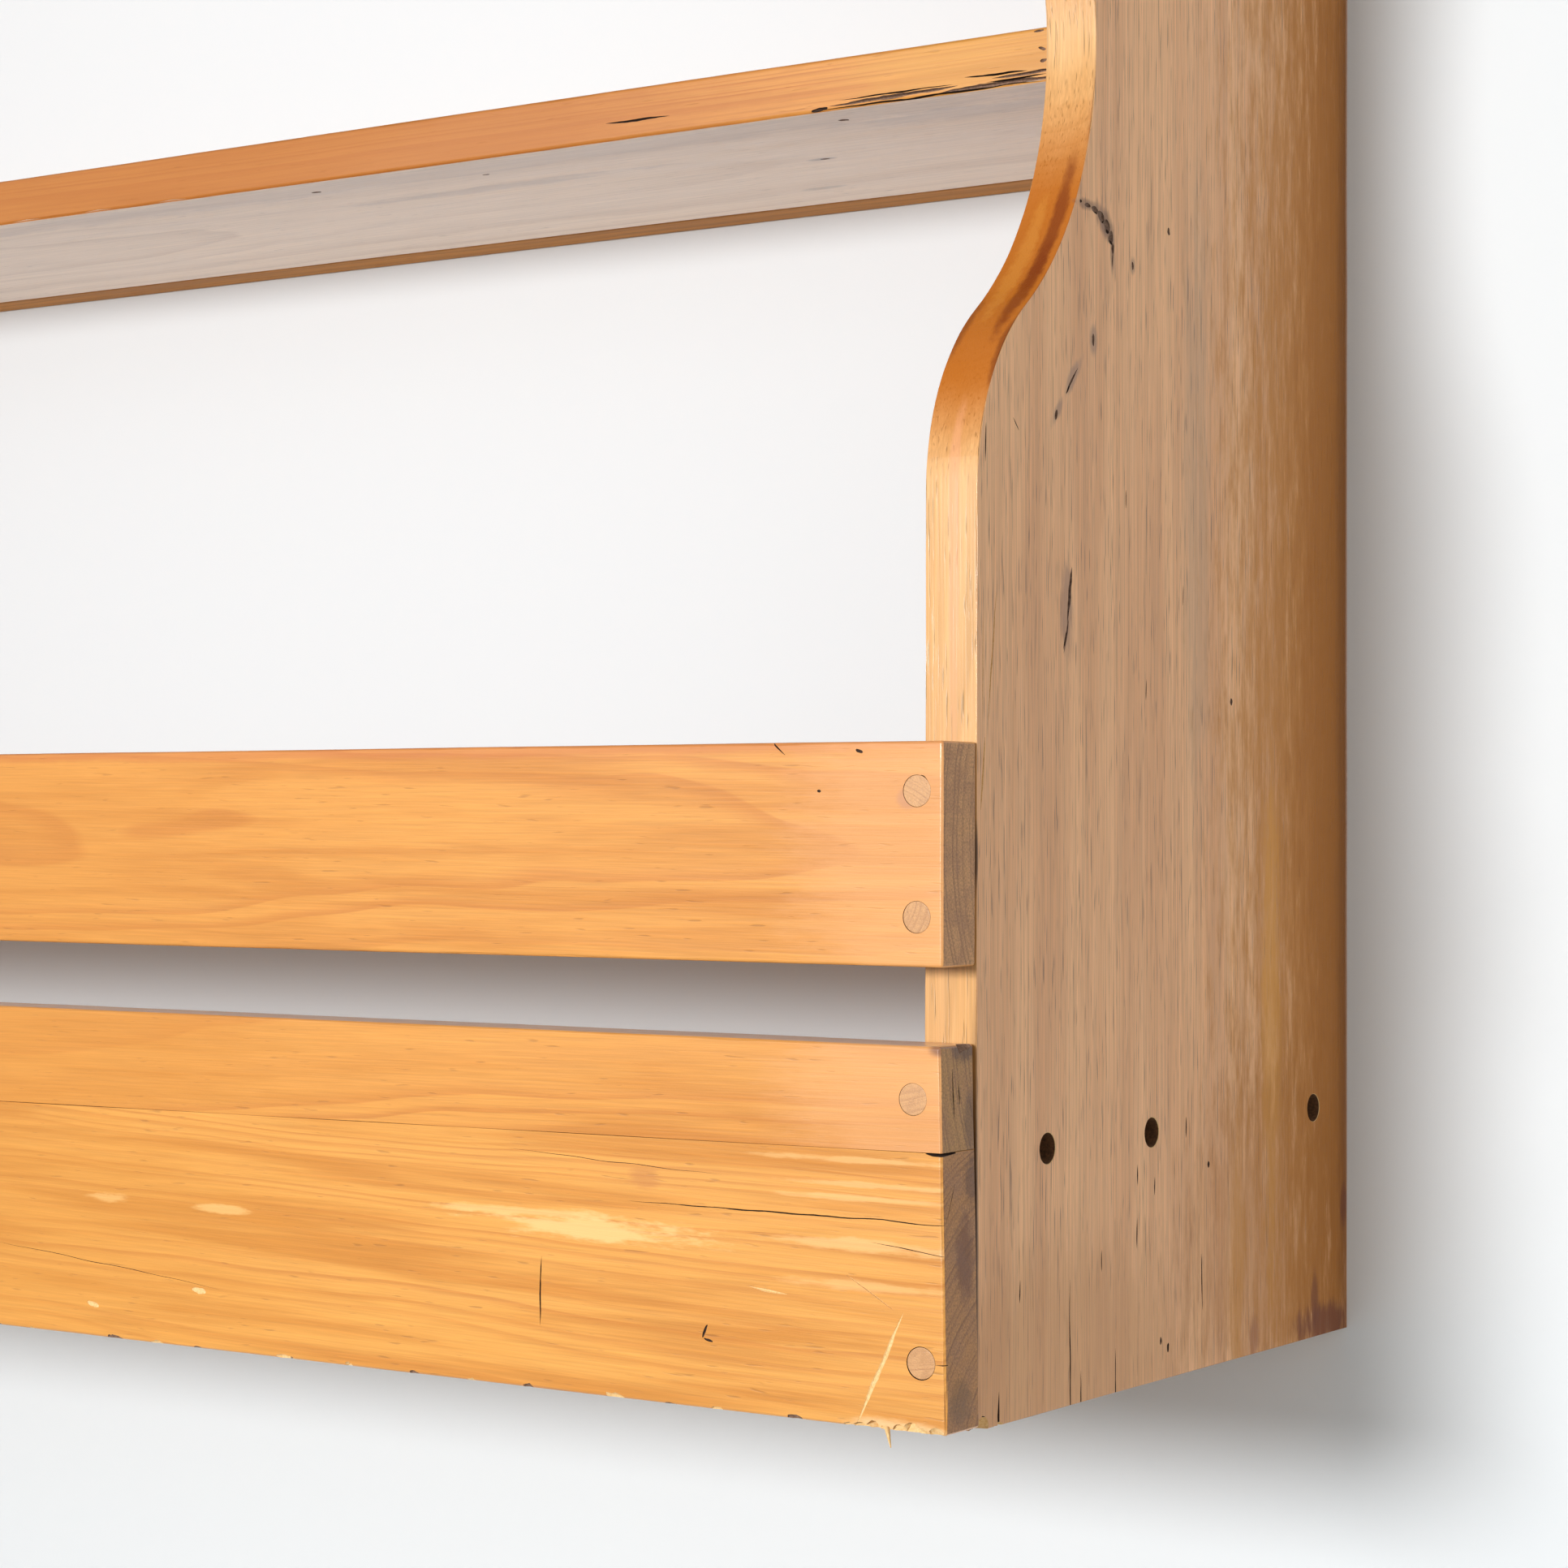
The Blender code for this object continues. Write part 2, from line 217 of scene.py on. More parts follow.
def let_through(tree, shader, share):
    """Close a sheet's finish: a share of the rays passes through it."""
    skin = put(tree, "MixShader", {0: share, 1: shader, 2: put(tree, "BsdfTransparent", {})})
    put(tree, "OutputMaterial", {"Surface": skin})


print("wall from", round(floor_height, 3), "to", WALL_TOP)

# %% [markdown]
# ### Paint of the wall and the floor
# Rolled wall paint is matt and white, with a faint stipple. Floor paint is matt and a little warm. It is pale where
# it is seen, and darker for bounced light, because the shadows under the rack are deep: little light came up
# from below.

# %% Make the wall and the floor
paint, tree = blank_finish("white_wall_paint")
stipple = speckle(tree, 4 * MM, Detail=3.0)
relief = put(tree, "Bump", {"Strength": 0.15, "Distance": 0.2 * MM, "Height": stipple})
matt = put(tree, "BsdfDiffuse", {"Color": linear("#EAEFF2"), "Normal": relief})
ray = put(tree, "LightPath", {})
touching = calc(tree, "LESS_THAN", ray.outputs["Ray Length"], OPEN_NEAR_WOOD)
let_through(tree, matt, calc(tree, "MAXIMUM", seen_from_behind(tree, ray), touching))

floor_paint, tree = blank_finish("pale_floor_paint")
patches = speckle(tree, 600 * MM, Detail=2.0)
ray = put(tree, "LightPath", {})
tone = blend(tree, patches, "#E4E2DE", "#EAE8E5")
tone = blend(tree, seen_directly(tree, ray), "#CAC6C0", tone)
matt = put(tree, "BsdfDiffuse", {"Color": tone})
let_through(tree, matt, seen_from_behind(tree, ray))

wall_middle = (floor_height + WALL_TOP) / 2
wall_place = Matrix.Translation((0, WALL_GAP, wall_middle)) @ Matrix.Rotation(math.pi / 2, 4, "X")
wall = stage_sheet("wall", (WALL_HALF_WIDTH, WALL_TOP - wall_middle), wall_place, paint)
floor_place = Matrix.Translation((0, 0, floor_height))
stage_sheet("floor", (FLOOR_HALF_SIZE, FLOOR_HALF_SIZE), floor_place, floor_paint)
print("wall faces", [round(v) for v in wall.data.polygons[0].normal], "floor at", round(floor_height, 3))

# %% [markdown]
# ## Light
# One soft lamp hangs in the room in front of the rack: the soft shadows on the wall to the right and below
# give its place and size. A larger and much weaker one stands to the left; it hardly lights the boards, and
# shows as the pale sheen on the upright edges at the right end. A third, weak too, lifts the right side. A
# weak even light fills the room, brighter behind the wall, where it only reaches the rack's back.

# %% Set the lamps and the room
ROOM_LIGHT = 0.34
ROOM_SEEN = 0.60
ROOM_TINT = (0.98, 1.0, 1.02, 1.0)
LIGHT_BEHIND = 0.6


def soft_lamp(name, place, turn, size, power):
    """An oval lamp that lights the scene and isn't seen itself."""
    data = bpy.data.lights.new(name, "AREA")
    data.shape = "ELLIPSE"
    data.size, data.size_y = size
    data.energy = power
    made = add_object(name, data)
    made.location = place
    made.rotation_euler = turn
    made.visible_camera = False
    return made


room_lamp = soft_lamp("room_lamp", (0.31, -2.217, -0.02), (math.pi / 2, 0, 0), (0.60, 0.40), 40.0)
sheen_lamp = soft_lamp("sheen_lamp", (-0.85, -2.2, 0.28), (math.pi / 2, 0, -0.5), (1.1, 1.0), 3.0)
side_lamp = soft_lamp("side_lamp", (2.2, -1.6, 0.1), (math.pi / 2, 0, 0.8), (1.2, 1.2), 3.8)

room = bpy.data.worlds.new("room")
room.use_nodes = True
tree = room.node_tree
tree.nodes.clear()
seen = seen_directly(tree, put(tree, "LightPath", {}))
level_of_light = remap(tree, seen, to_low=ROOM_LIGHT, to_high=ROOM_SEEN)
way = put(tree, "SeparateXYZ", {0: put(tree, "TexCoord", {}).outputs["Generated"]})
behind = remap(tree, way.outputs["Y"], 0.5, 0.7, to_high=LIGHT_BEHIND)
level_of_light = calc(tree, "ADD", level_of_light, behind)
put(tree, "OutputWorld", {"Surface": put(tree, "Background", {"Color": ROOM_TINT, "Strength": level_of_light})})
bpy.context.scene.world = room
bpy.context.scene.view_settings.view_transform = "Standard"
print("lamps", [lamp.name for lamp in (room_lamp, sheen_lamp, side_lamp)])

# %% [markdown]
# ## Pine
# Every board is old varnished pine. Real grain is solid: rings round the pith, a board sawn out of them, so
# the face, the edge and the end of a board show the same rings in three ways. The finish does the same. It
# measures each point's distance from a pith line that runs along the board, bends it a little, and cuts it
# into rings with a soft pale part and a sharp dark one. Fine fibres, soft clouds of varnish and short dark
# pores lie over that. Each board gets its own pith, so a flat sawn rail looks cloudy and a quarter sawn
# side finely striped. An end of a board has the same rings, duller and darker.

# %% Pine recipe
GRAIN_ORDER = {"X": ("Y", "Z", "X"), "Y": ("X", "Z", "Y"), "Z": ("X", "Y", "Z")}


def drawn_out(tree, log, size, shift=(0.0, 0.0, 0.0), **look):
    """Noise drawn out along the grain. size is its width and its length."""
    wide, long = size
    spread = put(tree, "Mapping", {"Vector": log, "Location": shift, "Scale": (1 / wide, 1 / wide, 1 / long)})
    return put(tree, "TexNoise", {"Vector": spread, "Scale": 1.0, **look})


def old_pine(name, wood):
    """Colour and relief of one board's wood, up to the varnish. wood holds the board's own values."""
    finish, tree = blank_finish(name)
    place = put(tree, "TexCoord", {}).outputs["Object"]
    axes = put(tree, "SeparateXYZ", {0: place})
    order = GRAIN_ORDER[wood["grain"]]
    along = put(tree, "CombineXYZ", {i: axes.outputs[axis] for i, axis in enumerate(order)})
    log = put(tree, "Mapping", {"Vector": along, "Location": (*wood["pith"], 0.0),
                                "Rotation": (*wood["drift"], 0.0)}, vector_type="TEXTURE")

    # Distance from the pith, bent slowly along the board, then counted in rings
    bend = drawn_out(tree, log, wood["bend"], Detail=2.0, Roughness=0.45)
    flat = put(tree, "VectorMath", {0: log, 1: (1.0, 1.0, 0.0)}, operation="MULTIPLY")
    reach = put(tree, "VectorMath", {0: flat}, operation="LENGTH").outputs["Value"]
    reach = calc(tree, "MULTIPLY_ADD", bend, wood["wobble"], reach)
    count = calc(tree, "DIVIDE", reach, wood["ring"])
    uneven = put(tree, "TexNoise", {"W": count, "Scale": 0.37, "Detail": 1.0}, noise_dimensions="1D")
    count = calc(tree, "MULTIPLY_ADD", uneven, 3.0, count)
    share = calc(tree, "FRACT", count)
    growing = remap(tree, share, wood["late"], 0.93, soft=True)
    ring = calc(tree, "MULTIPLY", growing, remap(tree, share, 1.0, 0.94))
    year = calc(tree, "FLOOR", count)
    lean_year = put(tree, "TexWhiteNoise", {"W": year}, noise_dimensions="1D").outputs["Value"]
    strength = remap(tree, lean_year, to_low=0.3 * wood["contrast"], to_high=wood["contrast"])
    ring = calc(tree, "MULTIPLY", ring, strength)

    # Fibres, clouds of varnish and short dark pores, all drawn out along the grain
    fibre = drawn_out(tree, log, wood["fibre"], Detail=3.0, Roughness=0.6)
    cloud = drawn_out(tree, log, wood["cloud"], (3.1, 1.7, 5.3), Detail=3.0, Roughness=0.5, Distortion=0.5)
    pit = drawn_out(tree, log, wood["pit"], (9.0, 4.0, 2.0), Detail=1.0)
    pore = remap(tree, pit, wood["rare"], wood["rare"] + 0.09)

    colour = blend(tree, ring, wood["pale"], wood["deep"])
    veil = remap(tree, cloud, 0.40, 0.68, to_high=wood["veil"], soft=True)
    colour = blend(tree, veil, colour, wood["amber"])
    streak = remap(tree, fibre, 0.25, 0.75, 1 - wood["streak"], 1 + wood["streak"])
    grey = put(tree, "CombineXYZ", {0: streak, 1: streak, 2: streak})
    colour = blend(tree, 1.0, colour, grey, blend_type="MULTIPLY")
    colour = blend(tree, calc(tree, "MULTIPLY", pore, wood["pores"]), colour, "#5E3A1E")

    # Relief: fibres stand up and pores sink. The torn noise frays the rims of stains
    relief = calc(tree, "MULTIPLY_ADD", pore, -0.8, fibre)
    torn = drawn_out(tree, log, (5 * MM, 24 * MM), Detail=4.0, Roughness=0.7)
    return {"finish": finish, "tree": tree, "place": place, "colour": colour, "relief": relief, "cloud": cloud,
            "torn": torn}


print("pine recipe ready, grain along", list(GRAIN_ORDER))

# %% [markdown]
# ## Stains and varnish
# Two steps finish a board's wood. A stain mixes a spot of another colour in, with a frayed rim, and the varnish
# closes the recipe: glossy in its clouds, worn elsewhere, with the fibres' relief under it. In the photograph
# the wall stays white beside the wood, so light that has bounced finds a greyer wood.

# %% Stains and varnish
BOUNCE_SHADE = "#BC8B5C"


def stain(board, centre, size, shade, strength, ragged=0.5, lean=0.0, on_cut=False):
    """Mix a ragged spot of another colour into a board's wood, leaning over in degrees; sizes in millimetres."""
    tree = board["tree"]
    near = put(tree, "Mapping", {"Vector": board["place"], "Location": [v * MM for v in centre],
                                 "Rotation": (math.radians(lean), 0.0, 0.0),
                                 "Scale": [v * MM for v in size]}, vector_type="TEXTURE")
    away = put(tree, "VectorMath", {0: near}, operation="LENGTH").outputs["Value"]
    edge = calc(tree, "MULTIPLY_ADD", board["torn"], 2 * ragged, away)
    mask = remap(tree, edge, 1.0 + ragged, 0.4 + ragged, to_high=strength, soft=True)
    if on_cut:
        mask = calc(tree, "MULTIPLY", mask, board["crossed"])
    board["colour"] = blend(tree, mask, board["colour"], shade)


def varnish(board, roughness, coat, bump):
    """Close a board's finish: worn varnish, glossier in the clouds, over the wood's relief."""
    tree = board["tree"]
    gloss = remap(tree, board["cloud"], 0.3, 0.7, roughness + 0.07, roughness - 0.07)
    skin = put(tree, "Bump", {"Strength": bump, "Distance": 0.2 * MM, "Height": board["relief"]})
    bounced = put(tree, "LightPath", {}).outputs["Is Diffuse Ray"]
    tone = blend(tree, bounced, board["colour"], BOUNCE_SHADE)
    shader = put(tree, "BsdfPrincipled", {"Base Color": tone, "Roughness": gloss, "IOR": 1.5,
                                          "Specular IOR Level": board.get("shine", 0.5),
                                          "Coat Weight": coat, "Coat Roughness": 0.14, "Normal": skin})
    put(tree, "OutputMaterial", {"Surface": shader})
    return board["finish"]


print("bounced light finds", BOUNCE_SHADE)

# %% [markdown]
# ## The boards' own woods
# The rails are flat sawn: their pith lies behind the face, so the rings run nearly level with it and show as
# clouds. The sides are quarter sawn, with upright stripes, and where their front edge curves the saw has
# crossed the fibres, which drank more varnish and turned deep orange. The shelves show straight lines on
# the front edge. The hanging rail was never varnished. Spots where the varnish has worn off, knots, stains,
# and painted shade and sheen are set one by one, in millimetres. A board has two finishes, for its faces and
# for its ends.

# %% Wood values
PINE = {"grain": "X", "drift": (0.0, 0.0), "ring": 3 * MM, "wobble": 9 * MM, "bend": (45 * MM, 160 * MM), "late": 0.4,
        "contrast": 0.7, "pale": "#D89443", "deep": "#B96C28", "amber": "#C27B31", "veil": 0.7,
        "fibre": (0.7 * MM, 40 * MM), "cloud": (9 * MM, 150 * MM), "streak": 0.12, "pores": 0.3,
        "pit": (1.1 * MM, 10 * MM), "rare": 0.69}
END_GRAIN = {"pale": "#C08B57", "deep": "#6E4426", "amber": "#9A6638", "contrast": 0.75, "veil": 0.6, "streak": 0.4,
             "pores": 0.5}


def age_side(face, cut_shade, coat):
    """Age a side: golden handled edges, orange cut fibres, dust and painted sheen on flats, dirt on the curve's
    arris.

    Little of the varnish is left on flats and cut fibres: the coat that remains is returned."""
    tree = face["tree"]
    face["crossed"] = put(tree, "Attribute", {}, attribute_name="cross_cut").outputs["Fac"]
    way = put(tree, "SeparateXYZ", {0: put(tree, "NewGeometry", {}).outputs["Normal"]}).outputs["X"]
    flat = remap(tree, calc(tree, "ABSOLUTE", way), 0.6, 0.95)
    handled = remap(tree, flat, to_low=0.35, to_high=0.0)
    soaked = calc(tree, "MULTIPLY", face["crossed"], 0.92)
    # Flats take a grey cast: partly dust, partly a painted sheen of the white wall beside them
    flat_dust_and_sheen = calc(tree, "MULTIPLY", flat, 0.18)
    turning = calc(tree, "COMPARE", flat, 0.5, 0.45)
    dirty = calc(tree, "MULTIPLY", calc(tree, "MULTIPLY", turning, face["crossed"]), face["torn"])
    for share, shade in ((handled, "#AC8A28"), (soaked, cut_shade), (flat_dust_and_sheen, "#D4BEB2"), (dirty, "#4A2410")):
        face["colour"] = blend(tree, share, face["colour"], shade)
    dull = calc(tree, "MAXIMUM", flat, face["crossed"])
    face["shine"] = remap(tree, dull, to_low=0.5, to_high=0.18)
    return remap(tree, dull, to_low=coat, to_high=0.0)


def pine_pair(name, wood, stains=(), face_gloss=(0.36, 0.5, 0.35), end_stains=()):
    """A board's two finishes: varnished face and duller end, from the same rings."""
    roughness, coat, bump = face_gloss
    face = old_pine(name, wood)
    if "cross_cut" in wood:
        coat = age_side(face, wood["cross_cut"], coat)
    end = old_pine(name + "_end", {**wood, **END_GRAIN, **wood.get("end", {})})
    for board, spots in ((face, stains), (end, end_stains)):
        for spot in spots:
            stain(board, *spot)
    return varnish(face, roughness, coat, bump), varnish(end, roughness=0.5, coat=0.0, bump=0.6)


print("pine from", PINE["pale"], "to", PINE["deep"])

# %% [markdown]
# ### Front rails
# The rails are golden, with a painted sheen that grows to the right: deeper to the left, pale pink at the
# right end. The wide board has a pale flame in the middle, thin pale lines and a small knot. Its end is stained
# where dirt has settled.

# %% Pine of the front rails
upper_rail_pine = pine_pair("upper_rail_pine", {**PINE, "pith": (-0.200, -0.272), "drift": (0.010, 0.014)}, [
    # Painted sheen along the rail: deeper golden to the left, paler pink at the right end
    ((150, -279, -280), (270, 14, 70), "#C9822C", 0.35, 0.4),
    ((400, -279, -246), (420, 12, 4), "#C4713C", 0.45, 0.5),
    ((592, -279, -280), (60, 14, 60), "#E8A86E", 0.45, 0.4),
    ((587.8, -279, -262.4), (4.4, 6, 4.4), "#C08660", 0.7, 0.3)])
strip_pine = pine_pair("strip_pine", {**PINE, "pith": (-0.190, -0.335), "drift": (-0.008, 0.012), "wobble": 6 * MM,
                                       "end": {"pale": "#B08048", "deep": "#623C1E"}}, [
    # Painted sheen, as on the upper rail: deeper golden to the left, paler pink at the right end
    ((150, -279, -350), (270, 14, 50), "#C9822C", 0.35, 0.4), ((590, -279, -350), (60, 14, 40), "#EBAE78", 0.4, 0.4),
    ((599, -276, -336), (5, 12, 3), "#5F3630", 0.7, 0.3)], end_stains=[
    ((600, -266, -336), (6, 10, 6), "#4E322A", 0.7, 0.5), ((600, -263, -358), (6, 5, 12), "#5E3E2A", 0.6, 0.6)])
front_board_pine = pine_pair("front_board_pine", {
    **PINE, "pith": (-0.225, -0.460), "drift": (0.016, 0.010), "ring": 3.2 * MM, "contrast": 0.55, "pale": "#DE9C49",
    "deep": "#B96C28", "end": {"pale": "#AE7842", "deep": "#6C4020"}}, [
    # Painted sheen, as on the rails: deeper golden to the left
    ((150, -280, -410), (270, 14, 70), "#CC8730", 0.35, 0.4),
    ((476, -280, -396.5), (50, 8, 4.5), "#F6C681", 0.75, 1.2),
    ((448, -280, -393), (46, 8, 1.8), "#F6C681", 0.6, 0.9),
    ((316, -280, -400.5), (13, 8, 2), "#F4C27A", 0.6, 1.0),
    ((261, -280, -400), (12, 8, 2), "#F4C27A", 0.5, 1.0),
    ((575, -280, -395), (46, 8, 2.4), "#F4BE7C", 0.6, 1.0),
    *[((572 + i, -280, z), (44 - 3 * i, 8, 1.2), "#F4C27E", 0.5, 0.9)
      for i, z in enumerate((-369.8, -377.0, -381.2))],
    ((578, -280, -407), (40, 8, 2.2), "#F2BA76", 0.5, 1.0),
    ((493, -280, -379.8), (8, 8, 4), "#BE7A3C", 0.55, 0.8),
    ((585, -280, -448), (22, 8, 4), "#EBC08A", 0.8, 0.8)], end_stains=[
    ((601, -268, -398), (6, 7, 16), "#6A3818", 0.7, 0.7), ((601, -263, -375), (6, 6, 10), "#54301E", 0.6, 0.6),
    ((601, -272, -440), (6, 9, 9), "#634422", 0.5, 0.7)])
print("rails", [pair[0].name for pair in (upper_rail_pine, strip_pine, front_board_pine)])

# %% [markdown]
# ### Sides
# A side's flats are dry and pinkish, with many fine pores, and painted deeper amber and darker towards the wall,
# with a dark band at the back edge: painted shade near the wall. Round the gouges the fibres are grey, the foot
# has purple brown water stains, and a dark red band runs along the sawn curve. Behind the rails' ends the front
# edge is painted black: painted shade in the gap between the rails and the side.

# %% Pine of the sides
SIDE = {**PINE, "grain": "Z", "pith": (0.55, 0.42), "drift": (0.004, -0.006), "ring": 1.8 * MM, "wobble": 5 * MM,
        "contrast": 0.55, "pale": "#F6B97E", "deep": "#CD8E5A", "amber": "#D9965A", "veil": 0.7,
        "cloud": (14 * MM, 260 * MM), "fibre": (0.6 * MM, 60 * MM), "streak": 0.24, "pores": 0.65,
        "pit": (0.6 * MM, 16 * MM), "rare": 0.62, "cross_cut": "#B2600C"}
right_side_pine = pine_pair("right_side_pine", SIDE, [
    ((600, -205.8, -203), (10, 4.4, 19), "#8E6E60", 0.55, 0.8),
    ((600, -202, -130.5), (10, 3, 10), "#94786A", 0.6, 0.6, -40),
    ((600, -211.7, -142.2), (10, 2.6, 7), "#94786A", 0.6, 0.6, -35),
    ((600, -189, -117.5), (10, 3, 6), "#94786A", 0.6, 0.6),
    ((600, -181.5, -79.5), (10, 9, 5), "#6A5044", 0.7, 0.7, -40),
    ((600, -193, -75.4), (10, 8, 2.4), "#6E5446", 0.6, 0.7),
    ((600, -176.6, -88), (10, 1.8, 8), "#6A5044", 0.6, 0.6),
    ((600, -162.8, -90.5), (10, 2.2, 4), "#8C7060", 0.6, 0.6),
    ((600, -118, -160), (10, 13, 140), "#B79B80", 0.35, 0.6),
    # Painted shade: deeper orange and darker towards the wall
    ((600, 0, -200), (14, 118, 560), "#BE7A24", 0.75, 0.7),
    ((600, 0, -200), (14, 62, 560), "#A8620E", 0.6, 0.6),
    ((600, -62, -340), (10, 9, 110), "#E2A04C", 0.6, 0.7),
    ((600, -88, -420), (10, 7, 60), "#DD9C4C", 0.5, 0.7), ((600, -60, -410), (14, 90, 80), "#A8681E", 0.4, 0.6),
    # Painted shade: a thin dark band along the back edge, against the wall
    ((600, 0, -200), (10, 12, 420), "#8A5526", 0.55, 0.3),
    ((600, -16, -446), (10, 34, 9), "#733C2C", 0.75, 0.8),
    ((600, -27, -438), (10, 4, 12), "#733C2C", 0.6, 0.5),
    ((600, -210, -440), (10, 120, 55), "#C08A58", 0.45, 0.4),
    ((600, -3, -406), (10, 4, 10), "#733C2C", 0.6, 0.4),
    ((600, -75, -445), (10, 5, 9), "#9A6248", 0.5, 0.5),
    ((592, -260, -180), (2.6, 8, 85), "#E09A6C", 0.5, 0.5),
    ((595.4, -206, -84), (3.4, 12, 38), "#7A3408", 0.8, 0.5, -35, True),
    ((595.4, -224, -106), (3.8, 12, 32), "#7A3408", 0.8, 0.5, -48, True),
    ((600, -244, -128), (2.6, 12, 18), "#7A3A10", 0.75, 0.5, -40, True),
    ((582, -238, -119), (3.4, 12, 22), "#864416", 0.75, 0.5, -48, True),
    ((588, -214, -96), (4, 12, 40), "#D28E3A", 0.4, 0.8, -42, True),
    ((600, -189, -33), (2, 12, 34), "#8E4A18", 0.7, 0.5, 0, True),
    ((584, -229, 110), (1.8, 9, 70), "#C7853F", 0.5, 0.6),
    ((593, -229, 60), (1.0, 9, 50), "#C98A48", 0.5, 0.7),
    # Painted shade: black on the front edge behind the rails' ends, where the gap between rails and side lies in
    # shadow
    ((600, -260.6, -414), (3.6, 2.4, 108), "#2C190C", 0.95, 0.1),
    ((600, -260.6, -280), (2.8, 1.7, 15), "#37200F", 0.85, 0.2)])
left_side_pine = pine_pair("left_side_pine", {**SIDE, "pith": (-0.63, 0.35), "drift": (-0.005, 0.004)}, [
    # Painted shade: a thin dark band along the back edge, against the wall
    ((-600, 0, -200), (10, 12, 420), "#8A5526", 0.55, 0.3),
    ((-600, -120, -250), (10, 5, 20), "#8A6A60", 0.5, 0.4),
    ((-600, -70, -300), (10, 10, 120), "#E2A04C", 0.5, 0.7)])
print("sides", [pair[0].name for pair in (right_side_pine, left_side_pine)])

# %% [markdown]
# ### Shelves and hanging rail
# The shelves' front edges are varnished like the rails, and a little browner; the middle shelf's is painted darker
# towards the left, a painted shade. Its underside is painted cream, a painted reflection of the white wall below,
# with grey streaks, so it gets a finish of its own. The hanging rail is bare.

# %% Pine of the shelves
SHELF = {**PINE, "pith": (-0.10, -0.42), "drift": (0.004, 0.010), "ring": 2.4 * MM, "wobble": 4 * MM, "contrast": 0.8}
shelf_pine = pine_pair("shelf_pine", SHELF, [
    # Painted shade: the front edge darker towards the left, paler again at the right end
    ((230, -164, -18), (330, 40, 40), "#B06622", 0.75, 0.2), ((550, -164, -16), (70, 20, 20), "#D2973F", 0.5, 0.6)])
# Painted reflection: the cream stands in for the white wall reflected at a grazing angle
under_face_painted_reflection = old_pine("under_shelf_reflection_pine", {**SHELF, "pale": "#FFE8D0", "deep": "#D8BCA4", "amber": "#F6DCC2",
                                           "contrast": 0.6, "streak": 0.16})
for spot in [((300, -152, -28), (420, 15, 6), "#BCA89F", 0.4, 0.8),
             ((520, -138, -28), (55, 10, 6), "#AC9891", 0.35, 1.0),
             ((437, -95, -28), (9, 3, 6), "#97817A", 0.7, 0.8), ((406, -48, -28), (13, 3, 6), "#A8937F", 0.6, 0.8),
             ((300, -118, -28), (90, 6, 6), "#BBA89E", 0.5, 1.0)]:
    stain(under_face_painted_reflection, *spot)
under_pine_painted_reflection = varnish(under_face_painted_reflection, roughness=0.4, coat=0.3, bump=0.4)
bare_pine = pine_pair("bare_pine", {**SHELF, "pale": "#CC8E44", "deep": "#98622A", "amber": "#B07634"},
                      face_gloss=(0.8, 0.0, 0.5))
print("pines", [m.name for m in bpy.data.materials if m.name.endswith("_pine")])

# %% [markdown]
# ## Broken and bored wood
# A dent, a split or a hole shows other wood inside: old splits hold dark dirt, bruised fibres go grey brown,
# fresh chips are cream, and bored walls are brown. They are rough and have no varnish. One recipe with two
# shades each, mottled along the millimetre, makes all four.

# %% Finishes of cuts
def bare_cut(name, dark, light, grain_mm):
    """Rough unvarnished wood, mottled between two shades."""
    finish, tree = blank_finish(name)
    mottle = speckle(tree, grain_mm * MM, Detail=3.0, Roughness=0.7)
    tone = blend(tree, remap(tree, mottle, 0.3, 0.7), dark, light)
    rough = put(tree, "Bump", {"Strength": 0.5, "Distance": 0.2 * MM, "Height": mottle})
    shader = put(tree, "BsdfPrincipled", {"Base Color": tone, "Roughness": 0.85, "IOR": 1.5, "Normal": rough})
    put(tree, "OutputMaterial", {"Surface": shader})
    return finish


old_dirt = bare_cut("old_dirt_in_splits", "#20130A", "#4A3020", 1.2)
bruised = bare_cut("bruised_pine", "#5E4434", "#957560", 0.9)
raw_pine = bare_cut("raw_pine", "#DBAB68", "#F2CF97", 0.8)
bored = bare_cut("bored_pine", "#4A2D16", "#7E542F", 1.0)
print("cuts", [finish.name for finish in (old_dirt, bruised, raw_pine, bored)])

# %% [markdown]
# ## Planks
# A plank starts as a cube, is cut into cells along and across, gets its edges rounded by a bevel, and is then
# worn: every point is pushed a little along its normal by smooth noise, and points on the rounded edges
# are pushed in further, so that the light on an edge breaks up as it does on an old board. The two lower
# boards were glued edge to edge and planed, so their shared edge stays tight.

# %% Pieces, edges and wear
SHARP, SMOOTH_BELOW = math.radians(50), math.radians(38)
SWELL_SCALE, BITE_SCALE = 18, 60


def add_piece(name, shape, finishes, node):
    """Turn a modelled shape into a piece that rides with the rack and stands for a solid, if it has one."""
    bmesh.ops.triangulate(shape, faces=shape.faces)
    piece = mesh_object(name, shape, *finishes)
    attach(piece, "root")
    if node:
        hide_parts(node)
    return piece


def round_edges(shape, edges, width):
    """Bevel edges to a round of four flats."""
    bmesh.ops.bevel(shape, geom=edges, offset=width, offset_type="OFFSET", segments=4, profile=0.5, affect="EDGES",
                    material=-1, clamp_overlap=True)


def sharp_edges(shape):
    """The edges that turn sharply."""
    return [e for e in shape.edges if len(e.link_faces) == 2 and e.calc_face_angle() > SHARP]


def wear(shape, axis, seed, flats, bites, spared=None):
    """Push points along their normals: a little on the flats, and inwards on the rounded edges."""
    shape.normal_update()
    moves = []
    for v in shape.verts:
        across = abs(v.normal[axis])
        on_edge = 1 - max(across, math.sqrt(max(0.0, 1 - across * across)))
        if spared and spared(v.co):
            on_edge = 0.0
        swell = noise.noise(v.co * SWELL_SCALE + Vector((seed, 0, 0))) * flats
        bite = max(0.0, noise.noise(v.co * BITE_SCALE + Vector((0, seed, 0))) + 0.1)
        moves.append(v.normal * (swell - bite * bites * min(1.0, on_edge * 4)))
    for v, move in zip(shape.verts, moves):
        v.co += move


